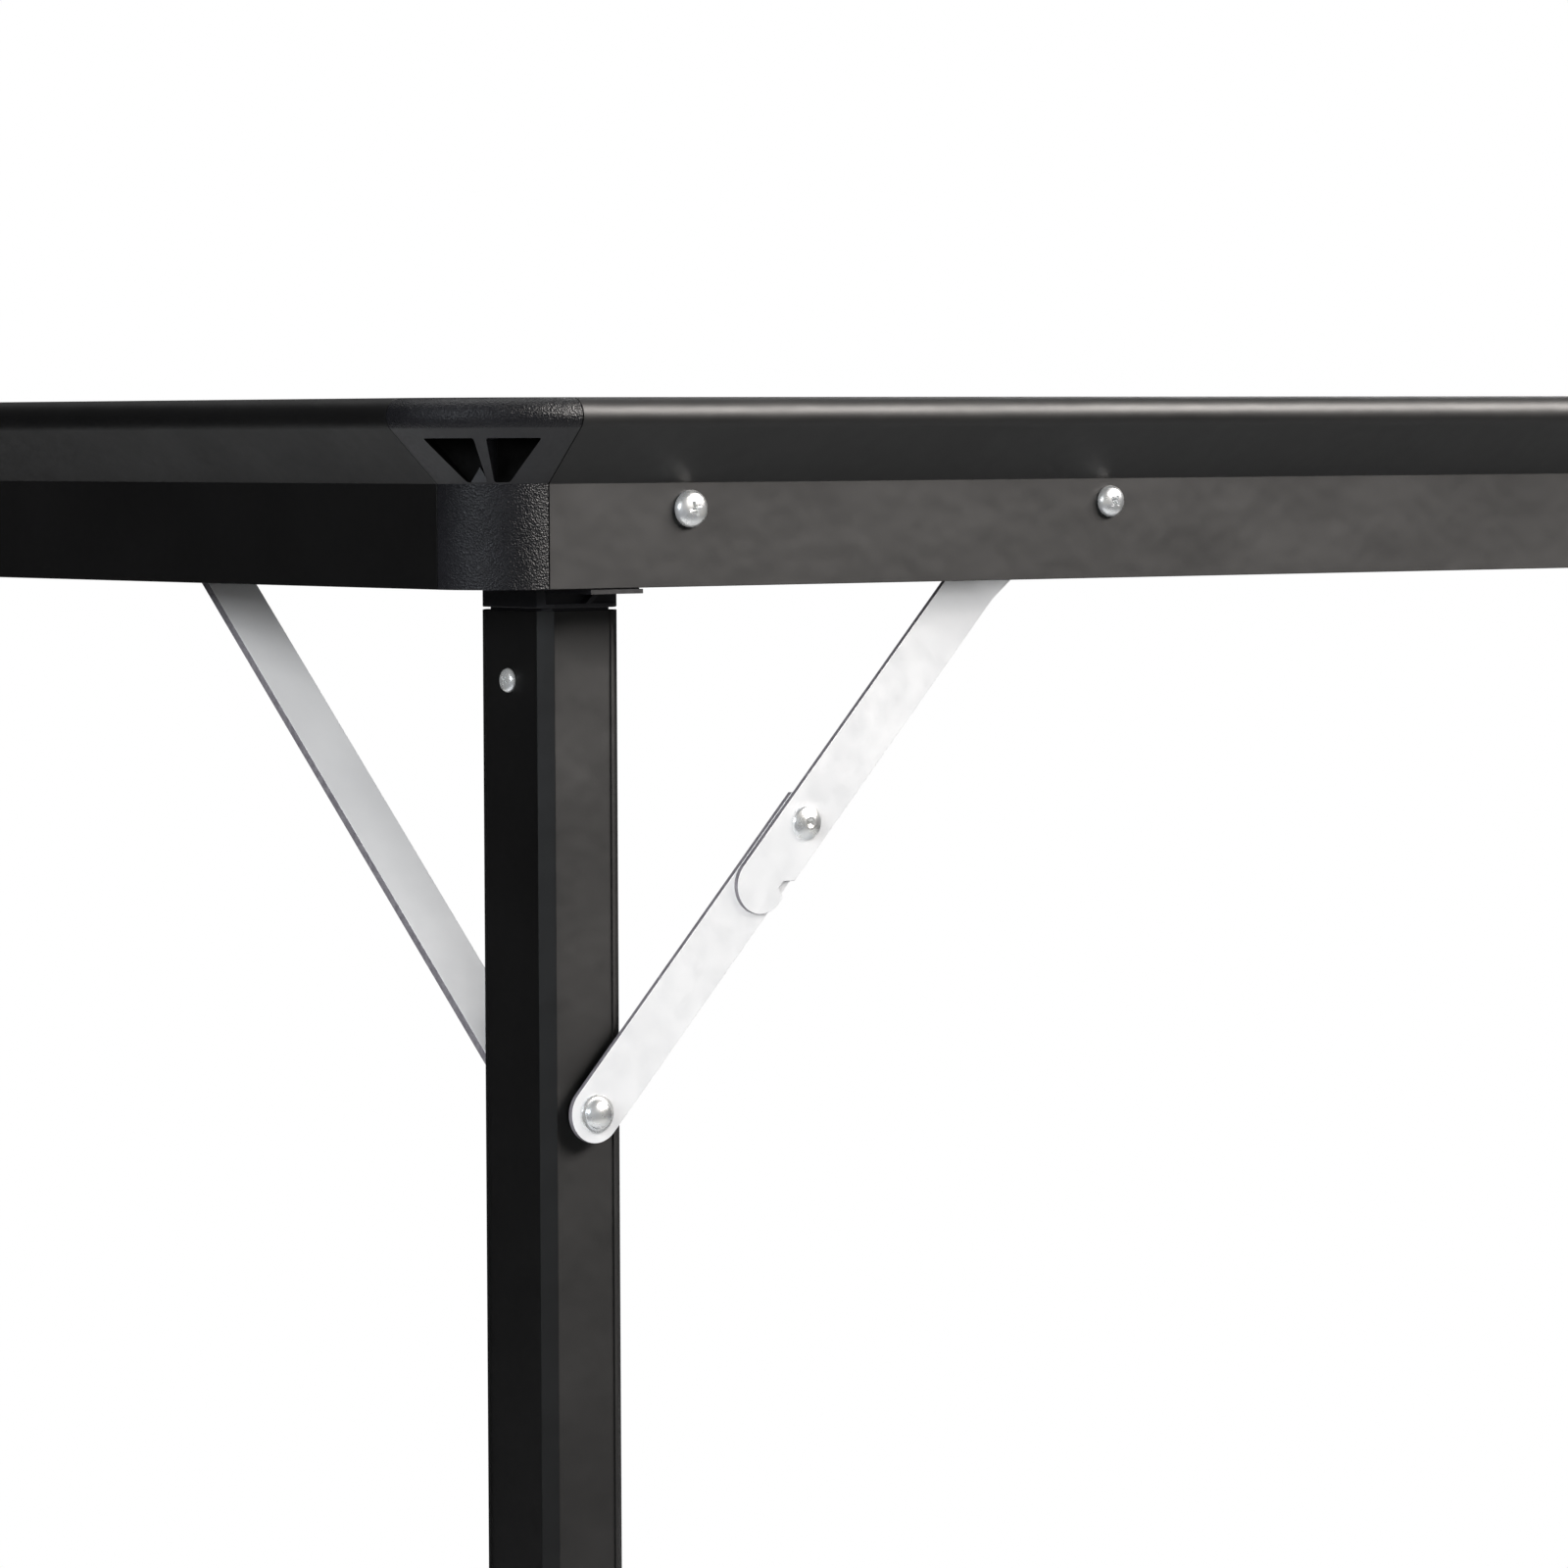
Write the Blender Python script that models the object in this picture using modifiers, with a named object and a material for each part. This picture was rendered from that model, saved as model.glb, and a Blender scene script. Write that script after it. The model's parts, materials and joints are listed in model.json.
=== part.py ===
"""Folding table: a framed top on two folding leg frames, each held upright by two stays.

Units are metres and +Z is up. The origin is on the floor under the middle of the top, +X runs
along the long side and -Y is the front. Left is -X. Every piece of a corner is modelled once,
at the front left corner, and mirrored to the other three.
"""
import math

import bmesh
import bpy
from mathutils import Matrix, Vector

# Whole table
LENGTH = 1.500
WIDTH = 0.800
HEIGHT = 0.720
GAP = 0.0003                 # clearance left between two pieces that touch

# Rim section, measured outward from the skirt's face and upward from its bottom edge
RIM_HEIGHT = 0.0500
RIM_OVERHANG = 0.0158        # the nose stands this far outside the skirt
NOSE_RADIUS = 0.0048
SLOPE_FOOT = 0.0276          # height where the slope under the nose meets the skirt
RIM_WALL = 0.0017
LIP_COVER = 0.0090           # how far the top lip reaches in over the panel
GROOVE_DEPTH = 0.0043        # depth of the panel's groove
LEDGE_TOP = 0.0340
LEDGE_DEPTH = 0.0140
PANEL_RISE = 0.0010          # the panel's rebated face, above its edge under the lip

# Corner caps
CORNER_RADIUS = 0.0208       # of the skirt's face, so the rim turns 36.6 mm from the same axis
CORNER_STEPS = 40            # round a full turn
WINDOW_TOP = 0.0395
WINDOW_BOTTOM = 0.0280
WINDOW_RIB = 0.0033
RIB_FOOT = 0.0015            # the rib is this much narrower at its foot, on the end rail's side
WINDOW_TOP_REACH = 0.0156
WINDOW_BOTTOM_REACH = 0.0056
WINDOW_BACK = 0.0182
COLLAR_PEAK = (-0.0022, 0.0320)  # the round wall rises to a peak beside the rib's foot
COLLAR_SPREAD = 0.0024       # the peak's half width at the windows' bottom
TONGUE_LENGTH = 0.0200
TONGUE_PLAY = 0.00035

# Legs
LEG_X = 0.0260
LEG_Y = 0.0320
LEG_CHAMFER = 0.00335
LEG_LIP = 0.0010
LEG_RECESS = 0.0004
LEG_WALL = 0.0014
LEG_IN_X = 0.0475            # leg's middle, in from the end skirt's face
LEG_IN_Y = 0.0380            # leg's middle, in from the long skirt's face
TUBE_DROP = 0.0063           # top of the leg tube below the skirt's bottom edge
HEAD_DROP = 0.0056           # shoulder of the leg head below it
PIVOT_RISE = 0.0156          # leg pivot above it
FOOT_WALL = 0.0014
FOOT_FLOOR = 0.0030
FOOT_HEIGHT = 0.0300
PIN_RADIUS = 0.0040

# Hinge brackets, as depths in from the two skirts' faces
CHEEK = 0.0035
WEB = (0.0290, 0.0335)
CHEEK_END = 0.0600
BASE_END = 0.0760
BASE = (0.0020, 0.0048)
BASE_TOP = 0.0236            # the bases end below the rim's thick inner corner
BRACKET_TOP = 0.0315
UNDER_LIP = (0.0345, 0.0512)
UNDER_LIP_BOTTOM = -0.0015
HINGE_SCREW = (0.0662, 0.0206)
SCREW_RADIUS = 0.0022
SCREW_HOLE = 0.0026

# Cross tubes and diagonal braces
CROSS_RADIUS = 0.0100
CROSS_WALL = 0.0015
BRACE_WIDTH = 0.0160
BRACE_THICK = 0.0025
BRACE_LOW = (0.1500, 0.1300)  # drop of the lower foot's end and of its bend
BRACE_HIGH = (0.2040, 0.2240)  # depth of the upper foot's bend and of its end

# Stays: pivots as (in from the end skirt's face, above the skirt's bottom edge)
STAY_TOP = (0.1920, 0.0180)
STAY_ELBOW = (0.1160, -0.0650)
STAY_FOOT = (0.0475, -0.1400)
STAY_WIDTH = 0.0158
STAY_THICK = 0.0016
UPPER_DEPTH = 0.0158         # outer face of the upper bar, in from the long skirt's face
UPPER_TAIL = 0.0300          # the upper bar runs on past the elbow
JOGGLE = (0.0874, 0.1034)    # the upper bar steps outward between these distances from the elbow
JOGGLE_STEP = 0.0047
NOTCH = (0.0140, 0.0200, 0.0028)  # along the tail from the elbow, and its depth
LOWER_HEAD = 0.0040          # the lower bar's square corner above the elbow
RIVET_RADIUS = 0.0025
STUD_RADIUS = 0.0030
STAY_PLATE = (0.1800, 0.2220, 0.0050)  # its two ends and its bottom edge

# Derived places
SKIRT_X = LENGTH / 2 - RIM_OVERHANG
SKIRT_Y = WIDTH / 2 - RIM_OVERHANG
SKIRT_Z = HEIGHT - RIM_HEIGHT
NOSE = (RIM_OVERHANG - NOSE_RADIUS, RIM_HEIGHT - NOSE_RADIUS)
PIVOT_Z = SKIRT_Z + PIVOT_RISE
LOWER_DEPTH = UPPER_DEPTH + STAY_THICK + GAP
LEG_FACE = LEG_IN_Y - LEG_Y / 2
PANEL_BOTTOM = LEDGE_TOP + GAP
PANEL_EDGE_TOP = RIM_HEIGHT - RIM_WALL - GAP

X, Y, Z = Vector((1, 0, 0)), Vector((0, 1, 0)), Vector((0, 0, 1))
SIDES = {"left": 1, "right": -1}
ENDS = {"front": 1, "back": -1}

MATERIALS = {
    "black_rail": ((0.022, 0.021, 0.020), 0.42, 0.6),
    "black_plastic": ((0.018, 0.018, 0.019), 0.55, 0.0),
    "top_laminate": ((0.045, 0.046, 0.048), 0.60, 0.0),
    "silver_aluminium": ((0.80, 0.80, 0.80), 0.35, 0.9),
    "zinc_steel": ((0.62, 0.63, 0.65), 0.28, 1.0),
}


def material(name):
    """The named Principled material, made the first time it is asked for."""
    found = bpy.data.materials.get(name)
    if found:
        return found
    colour, roughness, metallic = MATERIALS[name]
    made = bpy.data.materials.new(name)
    made.use_nodes = True
    shader = made.node_tree.nodes["Principled BSDF"]
    shader.inputs["Base Color"].default_value = (*colour, 1.0)
    shader.inputs["Roughness"].default_value = roughness
    shader.inputs["Metallic"].default_value = metallic
    made.diffuse_color = (*colour, 1.0)
    return made


def corner(inward_x, inward_y, rise):
    """World point at the front left corner, from depths inside the skirts and a height."""
    return Vector((inward_x - SKIRT_X, inward_y - SKIRT_Y, SKIRT_Z + rise))


def add_object(name, data, matrix=None):
    """A working object, kept out of the parts' collection."""
    made = bpy.data.objects.new(name, data)
    if matrix is not None:
        made.matrix_world = matrix
    cutters.objects.link(made)
    made.hide_render = True
    made.display_type = "WIRE"
    return made


def plane_matrix(origin, across, up):
    """Frame with local X and Y along the two directions, for an outline drawn in that plane."""
    normal = across.cross(up)
    return Matrix.Translation(origin) @ Matrix((across, up, normal)).transposed().to_4x4()


def evaluated_mesh(source):
    """The object's final mesh in world space, with its modifiers applied and its seams closed."""
    bpy.context.view_layer.update()
    depsgraph = bpy.context.evaluated_depsgraph_get()
    mesh = bpy.data.meshes.new_from_object(source.evaluated_get(depsgraph))
    mesh.transform(source.matrix_world)
    shape = bmesh.new()
    shape.from_mesh(mesh)
    bmesh.ops.remove_doubles(shape, verts=shape.verts, dist=0.00001)
    bmesh.ops.recalc_face_normals(shape, faces=shape.faces)
    shape.to_mesh(mesh)
    shape.free()
    return mesh


def extrude(name, loops, depth, origin, across, up):
    """Flat outlines made solid: local X is across, local Y is up, and origin is mid-depth."""
    curve = bpy.data.curves.new(name, "CURVE")
    curve.dimensions = "2D"
    curve.fill_mode = "BOTH"
    curve.extrude = depth / 2
    curve.render_resolution_u = 0
    for loop in loops:
        spline = curve.splines.new("POLY")
        spline.points.add(len(loop) - 1)
        for point, (along, rise) in zip(spline.points, loop):
            point.co = (along, rise, 0, 1)
        spline.use_cyclic_u = True
    drawn = add_object(name, curve, plane_matrix(Vector(origin), across, up))
    mesh = evaluated_mesh(drawn)
    bpy.data.objects.remove(drawn)
    return add_object(name, mesh)


def turn(name, profile, origin, axis, steps=16):
    """A turned solid from (radius, distance along the axis) points, outer side running down."""
    mesh = bpy.data.meshes.new(name)
    edges = [(i, i + 1) for i in range(len(profile) - 1)]
    if profile[0][0] > 0:
        edges.append((len(profile) - 1, 0))
    mesh.from_pydata([(radius, 0, along) for radius, along in profile], edges, [])
    side = X if abs(axis.dot(X)) < 0.9 else Y
    turned = add_object(name, mesh, plane_matrix(Vector(origin), side, axis.cross(side)))
    screw = turned.modifiers.new("turn", "SCREW")
    screw.steps = screw.render_steps = steps
    screw.use_merge_vertices = True
    screw.merge_threshold = 0.00001
    baked = evaluated_mesh(turned)
    bpy.data.objects.remove(turned)
    return add_object(name, baked)


def bore_profile(radius, half_depth):
    """The profile of a round hole's cutter."""
    return [(0, half_depth), (radius, half_depth), (radius, -half_depth), (0, -half_depth)]


def box(name, low, high):
    """A block between two corners."""
    low, high = Vector(low), Vector(high)
    shape = bmesh.new()
    bmesh.ops.create_cube(shape, size=1)
    bmesh.ops.scale(shape, vec=high - low, verts=shape.verts)
    bmesh.ops.translate(shape, vec=(low + high) / 2, verts=shape.verts)
    mesh = bpy.data.meshes.new(name)
    shape.to_mesh(mesh)
    shape.free()
    return add_object(name, mesh)


def boolean(target, tool, operation):
    """Cuts or joins the tool, which stays in the cutters' collection."""
    modifier = target.modifiers.new(tool.name, "BOOLEAN")
    modifier.operation = operation
    modifier.object = tool


def arc(centre, radius, start, end, steps):
    """Points along an arc, angles in degrees."""
    points = []
    for step in range(steps + 1):
        angle = math.radians(start + (end - start) * step / steps)
        points.append((centre[0] + radius * math.cos(angle), centre[1] + radius * math.sin(angle)))
    return points


def place(source, name, finish, parent=None, mirror=(1, 1)):
    """Turns a working object into a finished part, mirrored across X or Y when asked."""
    mesh = evaluated_mesh(source)
    mesh.name = name
    mesh.transform(Matrix.Diagonal((mirror[0], mirror[1], 1, 1)))
    if mirror[0] * mirror[1] < 0:
        mesh.flip_normals()
    origin = parent.location if parent else Vector((0, 0, 0))
    mesh.transform(Matrix.Translation(-origin))
    mesh.shade_smooth()
    mesh.set_sharp_from_angle(angle=math.radians(35))
    mesh.materials.clear()
    mesh.materials.append(material(finish))
    part = bpy.data.objects.new(name, mesh)
    parts.objects.link(part)
    part.parent = parent
    return part


def place_at_corners(source, name, finish, parents=None):
    """Mirrors a front left part to the four corners; parents maps a corner to its joint's empty."""
    for end, my in ENDS.items():
        for side, mx in SIDES.items():
            corner_name = f"{end}_{side}"
            parent = parents[corner_name] if parents else None
            place(source, f"{name}_{corner_name}", finish, parent, (mx, my))


def joint_empty(name, location):
    """An empty on a joint's axis, which the joint's pieces are parented to."""
    empty = bpy.data.objects.new(name, None)
    empty.location = location
    empty.empty_display_size = 0.03
    parts.objects.link(empty)
    return empty


# Rim ---------------------------------------------------------------------------------------

def slope_angle():
    """Direction, in degrees, of the normal of the slope that runs from the skirt to the nose."""
    out, up = NOSE[0], NOSE[1] - SLOPE_FOOT
    reach = math.hypot(out, up)
    return math.degrees(math.atan2(up, out) - math.asin(NOSE_RADIUS / reach)) - 90


def rim_outline():
    """The rim's section as (outward, upward) points, with the panel's groove on its inner side."""
    outline = arc(NOSE, NOSE_RADIUS, 90, 0, 4) + arc(NOSE, NOSE_RADIUS, 0, slope_angle(), 3)[1:]
    outline += [(0, SLOPE_FOOT), (0, 0), (-RIM_WALL, 0), (-RIM_WALL, SLOPE_FOOT - 0.0035)]
    ledge_bottom = LEDGE_TOP - RIM_WALL
    outline += [(-GROOVE_DEPTH, SLOPE_FOOT - 0.0005), (-GROOVE_DEPTH, ledge_bottom)]
    outline += [(-LEDGE_DEPTH, ledge_bottom), (-LEDGE_DEPTH, LEDGE_TOP)]
    outline += [(-GROOVE_DEPTH, LEDGE_TOP), (-GROOVE_DEPTH, RIM_HEIGHT - RIM_WALL)]
    outline += [(-LIP_COVER, RIM_HEIGHT - RIM_WALL), (-LIP_COVER, RIM_HEIGHT)]
    return outline


def chamber_outline(play=0.0):
    """The hollow inside the rim's nose, made smaller all round by the play."""
    wall = RIM_WALL + play
    back = RIM_WALL - GROOVE_DEPTH + play
    angle = slope_angle()
    normal = (math.cos(math.radians(angle)), math.sin(math.radians(angle)))
    low = SLOPE_FOOT - (wall + normal[0] * back) / normal[1]
    return arc(NOSE, NOSE_RADIUS - wall, 90, angle, 4) + [(back, low), (back, RIM_HEIGHT - wall)]


def rails():
    """Two long and two end rails, hollow extrusions that stop at the corner caps."""
    start = CORNER_RADIUS + GAP
    loops = [rim_outline(), chamber_outline()]
    long_rail = extrude("long_rail", loops, 2 * (SKIRT_X - start), (0, -SKIRT_Y, SKIRT_Z), -Y, Z)
    for mirror in (1, -1):
        spot = corner(HINGE_SCREW[0], 0, HINGE_SCREW[1])
        hole = turn("rail_hole", bore_profile(SCREW_HOLE, 0.01),
                    (mirror * spot.x, spot.y, spot.z), Y, 12)
        boolean(long_rail, hole, "DIFFERENCE")
    place(long_rail, "rail_front", "black_rail")
    place(long_rail, "rail_back", "black_rail", mirror=(1, -1))
    end_rail = extrude("end_rail", loops, 2 * (SKIRT_Y - start), (-SKIRT_X, 0, SKIRT_Z), -X, Z)
    place(end_rail, "rail_left", "black_rail")
    place(end_rail, "rail_right", "black_rail", mirror=(-1, 1))


def window_cutter(side):
    """The pocket behind one window of a corner cap, which leaves the round wall's top edge."""
    foot = WINDOW_RIB / 2 - (RIB_FOOT if side < 0 else 0)
    outline = [(WINDOW_RIB / 2, WINDOW_TOP), (WINDOW_TOP_REACH, WINDOW_TOP),
               (WINDOW_BOTTOM_REACH, WINDOW_BOTTOM), (foot, WINDOW_BOTTOM)]
    outline = [(side * along, rise) for along, rise in outline]
    outward = Vector((-1, -1, 0)).normalized()
    across = Z.cross(outward)
    axis = corner(CORNER_RADIUS, CORNER_RADIUS, 0)
    start, end = WINDOW_BACK, 2 * CORNER_RADIUS
    cutter = extrude("window", [outline], end - start, axis + outward * (start + end) / 2, across, Z)
    middle, top = COLLAR_PEAK
    base = 2 * WINDOW_BOTTOM - top
    peak = [(middle - 2 * COLLAR_SPREAD, base), (middle + 2 * COLLAR_SPREAD, base), (middle, top)]
    start, end = WINDOW_BACK - 0.001, CORNER_RADIUS
    collar = extrude("collar", [peak], end - start, axis + outward * (start + end) / 2, across, Z)
    boolean(cutter, collar, "DIFFERENCE")
    return cutter


def corner_caps():
    """Moulded corner caps: the rim turned through a quarter circle, with tongues in the rails."""
    axis = corner(CORNER_RADIUS, CORNER_RADIUS, 0)
    section = [(CORNER_RADIUS + out, up) for out, up in rim_outline()]
    cap = turn("corner_cap", section, axis, Z, CORNER_STEPS)
    reach = 2 * CORNER_RADIUS
    quarter = box("quarter", axis - Vector((reach, reach, 0.01)),
                  axis + Vector((0, 0, RIM_HEIGHT + 0.01)))
    boolean(cap, quarter, "INTERSECT")
    for side in (1, -1):
        boolean(cap, window_cutter(side), "DIFFERENCE")
    length = TONGUE_LENGTH + 0.001
    middle = CORNER_RADIUS - 0.001 + length / 2
    tongue = [chamber_outline(TONGUE_PLAY)]
    boolean(cap, extrude("tongue_x", tongue, length, corner(middle, 0, 0), -Y, Z), "UNION")
    boolean(cap, extrude("tongue_y", tongue, length, corner(0, middle, 0), -X, Z), "UNION")
    place_at_corners(cap, "corner_cap", "black_plastic")


def panel_outline(edge):
    """A rectangle with rounded corners, inside the skirts' faces by the edge distance."""
    half_x, half_y = SKIRT_X - CORNER_RADIUS, SKIRT_Y - CORNER_RADIUS
    outline = []
    for index, (mx, my) in enumerate([(1, 1), (-1, 1), (-1, -1), (1, -1)]):
        outline += arc((mx * half_x, my * half_y), CORNER_RADIUS - edge, 90 * index, 90 * index + 90, 6)
    return outline


def tabletop_panel():
    """The laminated panel: held in the rim's groove, and rebated where the rim's lip covers it."""
    top = PANEL_EDGE_TOP + PANEL_RISE
    middle = SKIRT_Z + (PANEL_BOTTOM + top) / 2
    panel = extrude("panel", [panel_outline(GROOVE_DEPTH + GAP)], top - PANEL_BOTTOM,
                    (0, 0, middle), X, Y)
    rebate = extrude("rebate", [panel_outline(0), panel_outline(LIP_COVER + GAP)], 2 * PANEL_RISE,
                     (0, 0, SKIRT_Z + PANEL_EDGE_TOP + PANEL_RISE), X, Y)
    boolean(panel, rebate, "DIFFERENCE")
    place(panel, "tabletop_panel", "top_laminate")


# Legs --------------------------------------------------------------------------------------

def chamfered(half_x, half_y, chamfer):
    """A rectangle with 45 degree corners, anticlockwise."""
    outline = []
    for mx, my in ((1, 1), (-1, 1), (-1, -1), (1, -1)):
        pair = [(mx * half_x, my * (half_y - chamfer)), (mx * (half_x - chamfer), my * half_y)]
        outline += pair if mx * my > 0 else pair[::-1]
    return outline


def leg_outline():
    """The leg's section: chamfered corners, and each face recessed between two thin lips."""
    outline = []
    for turn_index in range(4):
        near, far = (LEG_X / 2, LEG_Y / 2) if turn_index % 2 == 0 else (LEG_Y / 2, LEG_X / 2)
        edge = far - LEG_CHAMFER
        inner = edge - LEG_LIP
        face = [(near, -edge), (near, -inner), (near - LEG_RECESS, -inner),
                (near - LEG_RECESS, inner), (near, inner), (near, edge)]
        cosine, sine = [(1, 0), (0, 1), (-1, 0), (0, -1)][turn_index]
        outline += [(a * cosine - b * sine, a * sine + b * cosine) for a, b in face]
    return outline


def leg_tubes(parents):
    """Hollow extruded legs."""
    low, high = FOOT_FLOOR + GAP, SKIRT_Z - TUBE_DROP
    inset = LEG_RECESS + LEG_WALL
    loops = [leg_outline(), chamfered(LEG_X / 2 - inset, LEG_Y / 2 - inset, 0.002)]
    middle = corner(LEG_IN_X, LEG_IN_Y, 0)
    middle.z = (low + high) / 2
    tube = extrude("leg_tube", loops, high - low, middle, X, Y)
    place_at_corners(tube, "leg_tube", "black_rail", parents)


def leg_feet(parents):
    """Moulded cups over the legs' lower ends, with bevelled soles."""
    grow = GAP + FOOT_WALL
    middle = corner(LEG_IN_X, LEG_IN_Y, 0)
    middle.z = FOOT_HEIGHT / 2
    outer = chamfered(LEG_X / 2 + grow, LEG_Y / 2 + grow, LEG_CHAMFER)
    foot = extrude("leg_foot", [outer], FOOT_HEIGHT, middle, X, Y)
    bevel = foot.modifiers.new("rounded_edges", "BEVEL")
    bevel.width = 0.0011
    bevel.segments = 2
    bevel.limit_method = "ANGLE"
    bevel.angle_limit = math.radians(60)
    middle.z = FOOT_FLOOR + FOOT_HEIGHT / 2
    bore = chamfered(LEG_X / 2 + GAP, LEG_Y / 2 + GAP, LEG_CHAMFER)
    boolean(foot, extrude("foot_bore", [bore], FOOT_HEIGHT, middle, X, Y), "DIFFERENCE")
    place_at_corners(foot, "leg_foot", "black_plastic", parents)


def leg_heads(parents):
    """Moulded hinge blocks: a shoulder, a barrel round the pin and a spigot in the leg tube."""
    shoulder_top = 0.003
    middle = corner(LEG_IN_X, LEG_IN_Y, (shoulder_top - HEAD_DROP) / 2)
    head = extrude("leg_head", [chamfered(LEG_X / 2, LEG_Y / 2, LEG_CHAMFER)],
                   shoulder_top + HEAD_DROP, middle, X, Y)
    radius = LEG_X / 2 - GAP
    barrel = arc((0, PIVOT_RISE), radius, 0, 180, 10) + [(-radius, 0), (radius, 0)]
    boolean(head, extrude("barrel", [barrel], LEG_Y - 0.0006, corner(LEG_IN_X, LEG_IN_Y, 0), X, Z),
            "UNION")
    inset = LEG_RECESS + LEG_WALL + GAP
    length = 0.040
    middle = corner(LEG_IN_X, LEG_IN_Y, 0.001 - HEAD_DROP - length / 2)
    spigot = chamfered(LEG_X / 2 - inset, LEG_Y / 2 - inset, 0.002)
    boolean(head, extrude("spigot", [spigot], length, middle, X, Y), "UNION")
    boolean(head, pin_hole(), "DIFFERENCE")
    place_at_corners(head, "leg_head", "black_plastic", parents)


def pin_hole():
    """The clearance bore of a leg's hinge, through the head and both cheeks."""
    return turn("pin_hole", bore_profile(PIN_RADIUS + GAP, 0.03),
                corner(LEG_IN_X, LEG_IN_Y, PIVOT_RISE), Y)


def hinge_pins(parents):
    """Hinge pins: riveted outside the outer cheek, and swelling to a plug in the cross tube."""
    outer = LEG_FACE - GAP - CHEEK - GAP
    inner = LEG_FACE + LEG_Y + 2 * GAP + CHEEK
    plug = CROSS_RADIUS - CROSS_WALL - GAP
    profile = [(0, inner + 0.020), (plug, inner + 0.020), (plug, inner + GAP),
               (PIN_RADIUS, inner + GAP), (PIN_RADIUS, outer), (0.0065, outer),
               (0.0060, outer - 0.0015), (0.0040, outer - 0.0022), (0, outer - 0.0025)]
    pin = turn("hinge_pin", profile, corner(LEG_IN_X, 0, PIVOT_RISE), Y)
    place_at_corners(pin, "hinge_pin", "zinc_steel", parents)


def cross_tubes(axes):
    """Round tubes on the pivot axis, from one leg head to the other."""
    start = LEG_FACE + LEG_Y + 2 * GAP + CHEEK + GAP
    half = SKIRT_Y - start
    bore = CROSS_RADIUS - CROSS_WALL
    profile = [(CROSS_RADIUS, half), (CROSS_RADIUS, -half), (bore, -half), (bore, half)]
    tube = turn("cross_tube", profile, (LEG_IN_X - SKIRT_X, 0, PIVOT_Z), Y)
    for side, mirror in SIDES.items():
        place(tube, f"cross_tube_{side}", "black_rail", axes[side], (mirror, 1))


def strip(centre_line, thickness):
    """A bent strip's outline: the centre line offset to both sides, with mitred bends."""
    half = thickness / 2
    points = [Vector(point) for point in centre_line]
    sides = [[], []]
    for index, point in enumerate(points):
        before = (point - points[index - 1]).normalized() if index else None
        after = (points[index + 1] - point).normalized() if index < len(points) - 1 else None
        directions = [direction for direction in (before, after) if direction]
        normals = [Vector((-direction.y, direction.x)) for direction in directions]
        mitre = (normals[0] + normals[-1]).normalized()
        reach = half / mitre.dot(normals[0])
        sides[0].append(tuple(point + mitre * reach))
        sides[1].append(tuple(point - mitre * reach))
    return sides[0] + sides[1][::-1]


def leg_braces(parents):
    """Flat diagonal braces from the leg's inner face up to the cross tube's underside."""
    half = BRACE_THICK / 2
    face = LEG_IN_Y + LEG_Y / 2 + GAP + half
    tube_bottom = PIVOT_RISE - CROSS_RADIUS - GAP - half
    line = [(face, -BRACE_LOW[0]), (face, -BRACE_LOW[1]), (BRACE_HIGH[0], tube_bottom),
            (BRACE_HIGH[1], tube_bottom)]
    brace = extrude("leg_brace", [strip(line, BRACE_THICK)], BRACE_WIDTH,
                    corner(LEG_IN_X, 0, 0), Y, Z)
    place_at_corners(brace, "leg_brace", "silver_aluminium", parents)


# Brackets ----------------------------------------------------------------------------------

def hinge_brackets():
    """Moulded hinge brackets: a base on the skirt and two cheeks joined behind the leg."""
    outer = (LEG_FACE - GAP - CHEEK, LEG_FACE - GAP)
    inner = (LEG_FACE + LEG_Y + GAP, LEG_FACE + LEG_Y + GAP + CHEEK)
    start = GROOVE_DEPTH + GAP
    plan = [(WEB[0], start), (WEB[1], start), (WEB[1], outer[0]), (CHEEK_END, outer[0]),
            (CHEEK_END, outer[1]), (WEB[1], outer[1]), (WEB[1], inner[0]), (CHEEK_END, inner[0]),
            (CHEEK_END, inner[1]), (WEB[0], inner[1])]
    bottom = 0.0005
    bracket = extrude("hinge_bracket", [plan], BRACKET_TOP - bottom,
                      corner(0, 0, (BRACKET_TOP + bottom) / 2), X, Y)
    base = box("base", corner(WEB[0], BASE[0], 0.0010), corner(BASE_END, BASE[1], BASE_TOP))
    boolean(bracket, base, "UNION")
    lip = [(GAP, UNDER_LIP_BOTTOM), (outer[1], UNDER_LIP_BOTTOM), (outer[1], 0.0010),
           (BASE[0], 0.0010), (BASE[0], -GAP), (GAP, -GAP)]
    under = extrude("under_lip", [lip], UNDER_LIP[1] - UNDER_LIP[0],
                    corner(sum(UNDER_LIP) / 2, 0, 0), Y, Z)
    boolean(bracket, under, "UNION")
    boolean(bracket, pin_hole(), "DIFFERENCE")
    hole = turn("bracket_hole", bore_profile(SCREW_HOLE, 0.006),
                corner(HINGE_SCREW[0], BASE[0], HINGE_SCREW[1]), Y, 12)
    boolean(bracket, hole, "DIFFERENCE")
    place_at_corners(bracket, "hinge_bracket", "black_plastic")


def hinge_screws():
    """Pan head screws through the long skirts into the hinge brackets."""
    head = [(0.0050, -0.0008), (0.0047, -0.0017), (0.0038, -0.0025), (0.0022, -0.0030)]
    profile = [(0, 0.0085), (SCREW_RADIUS, 0.0075), (SCREW_RADIUS, -GAP), (0.0050, -GAP)] + head
    profile += [(0, -0.0031)]
    screw = turn("hinge_screw", profile, corner(HINGE_SCREW[0], 0, HINGE_SCREW[1]), Y)
    place_at_corners(screw, "hinge_screw", "zinc_steel")


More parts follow.
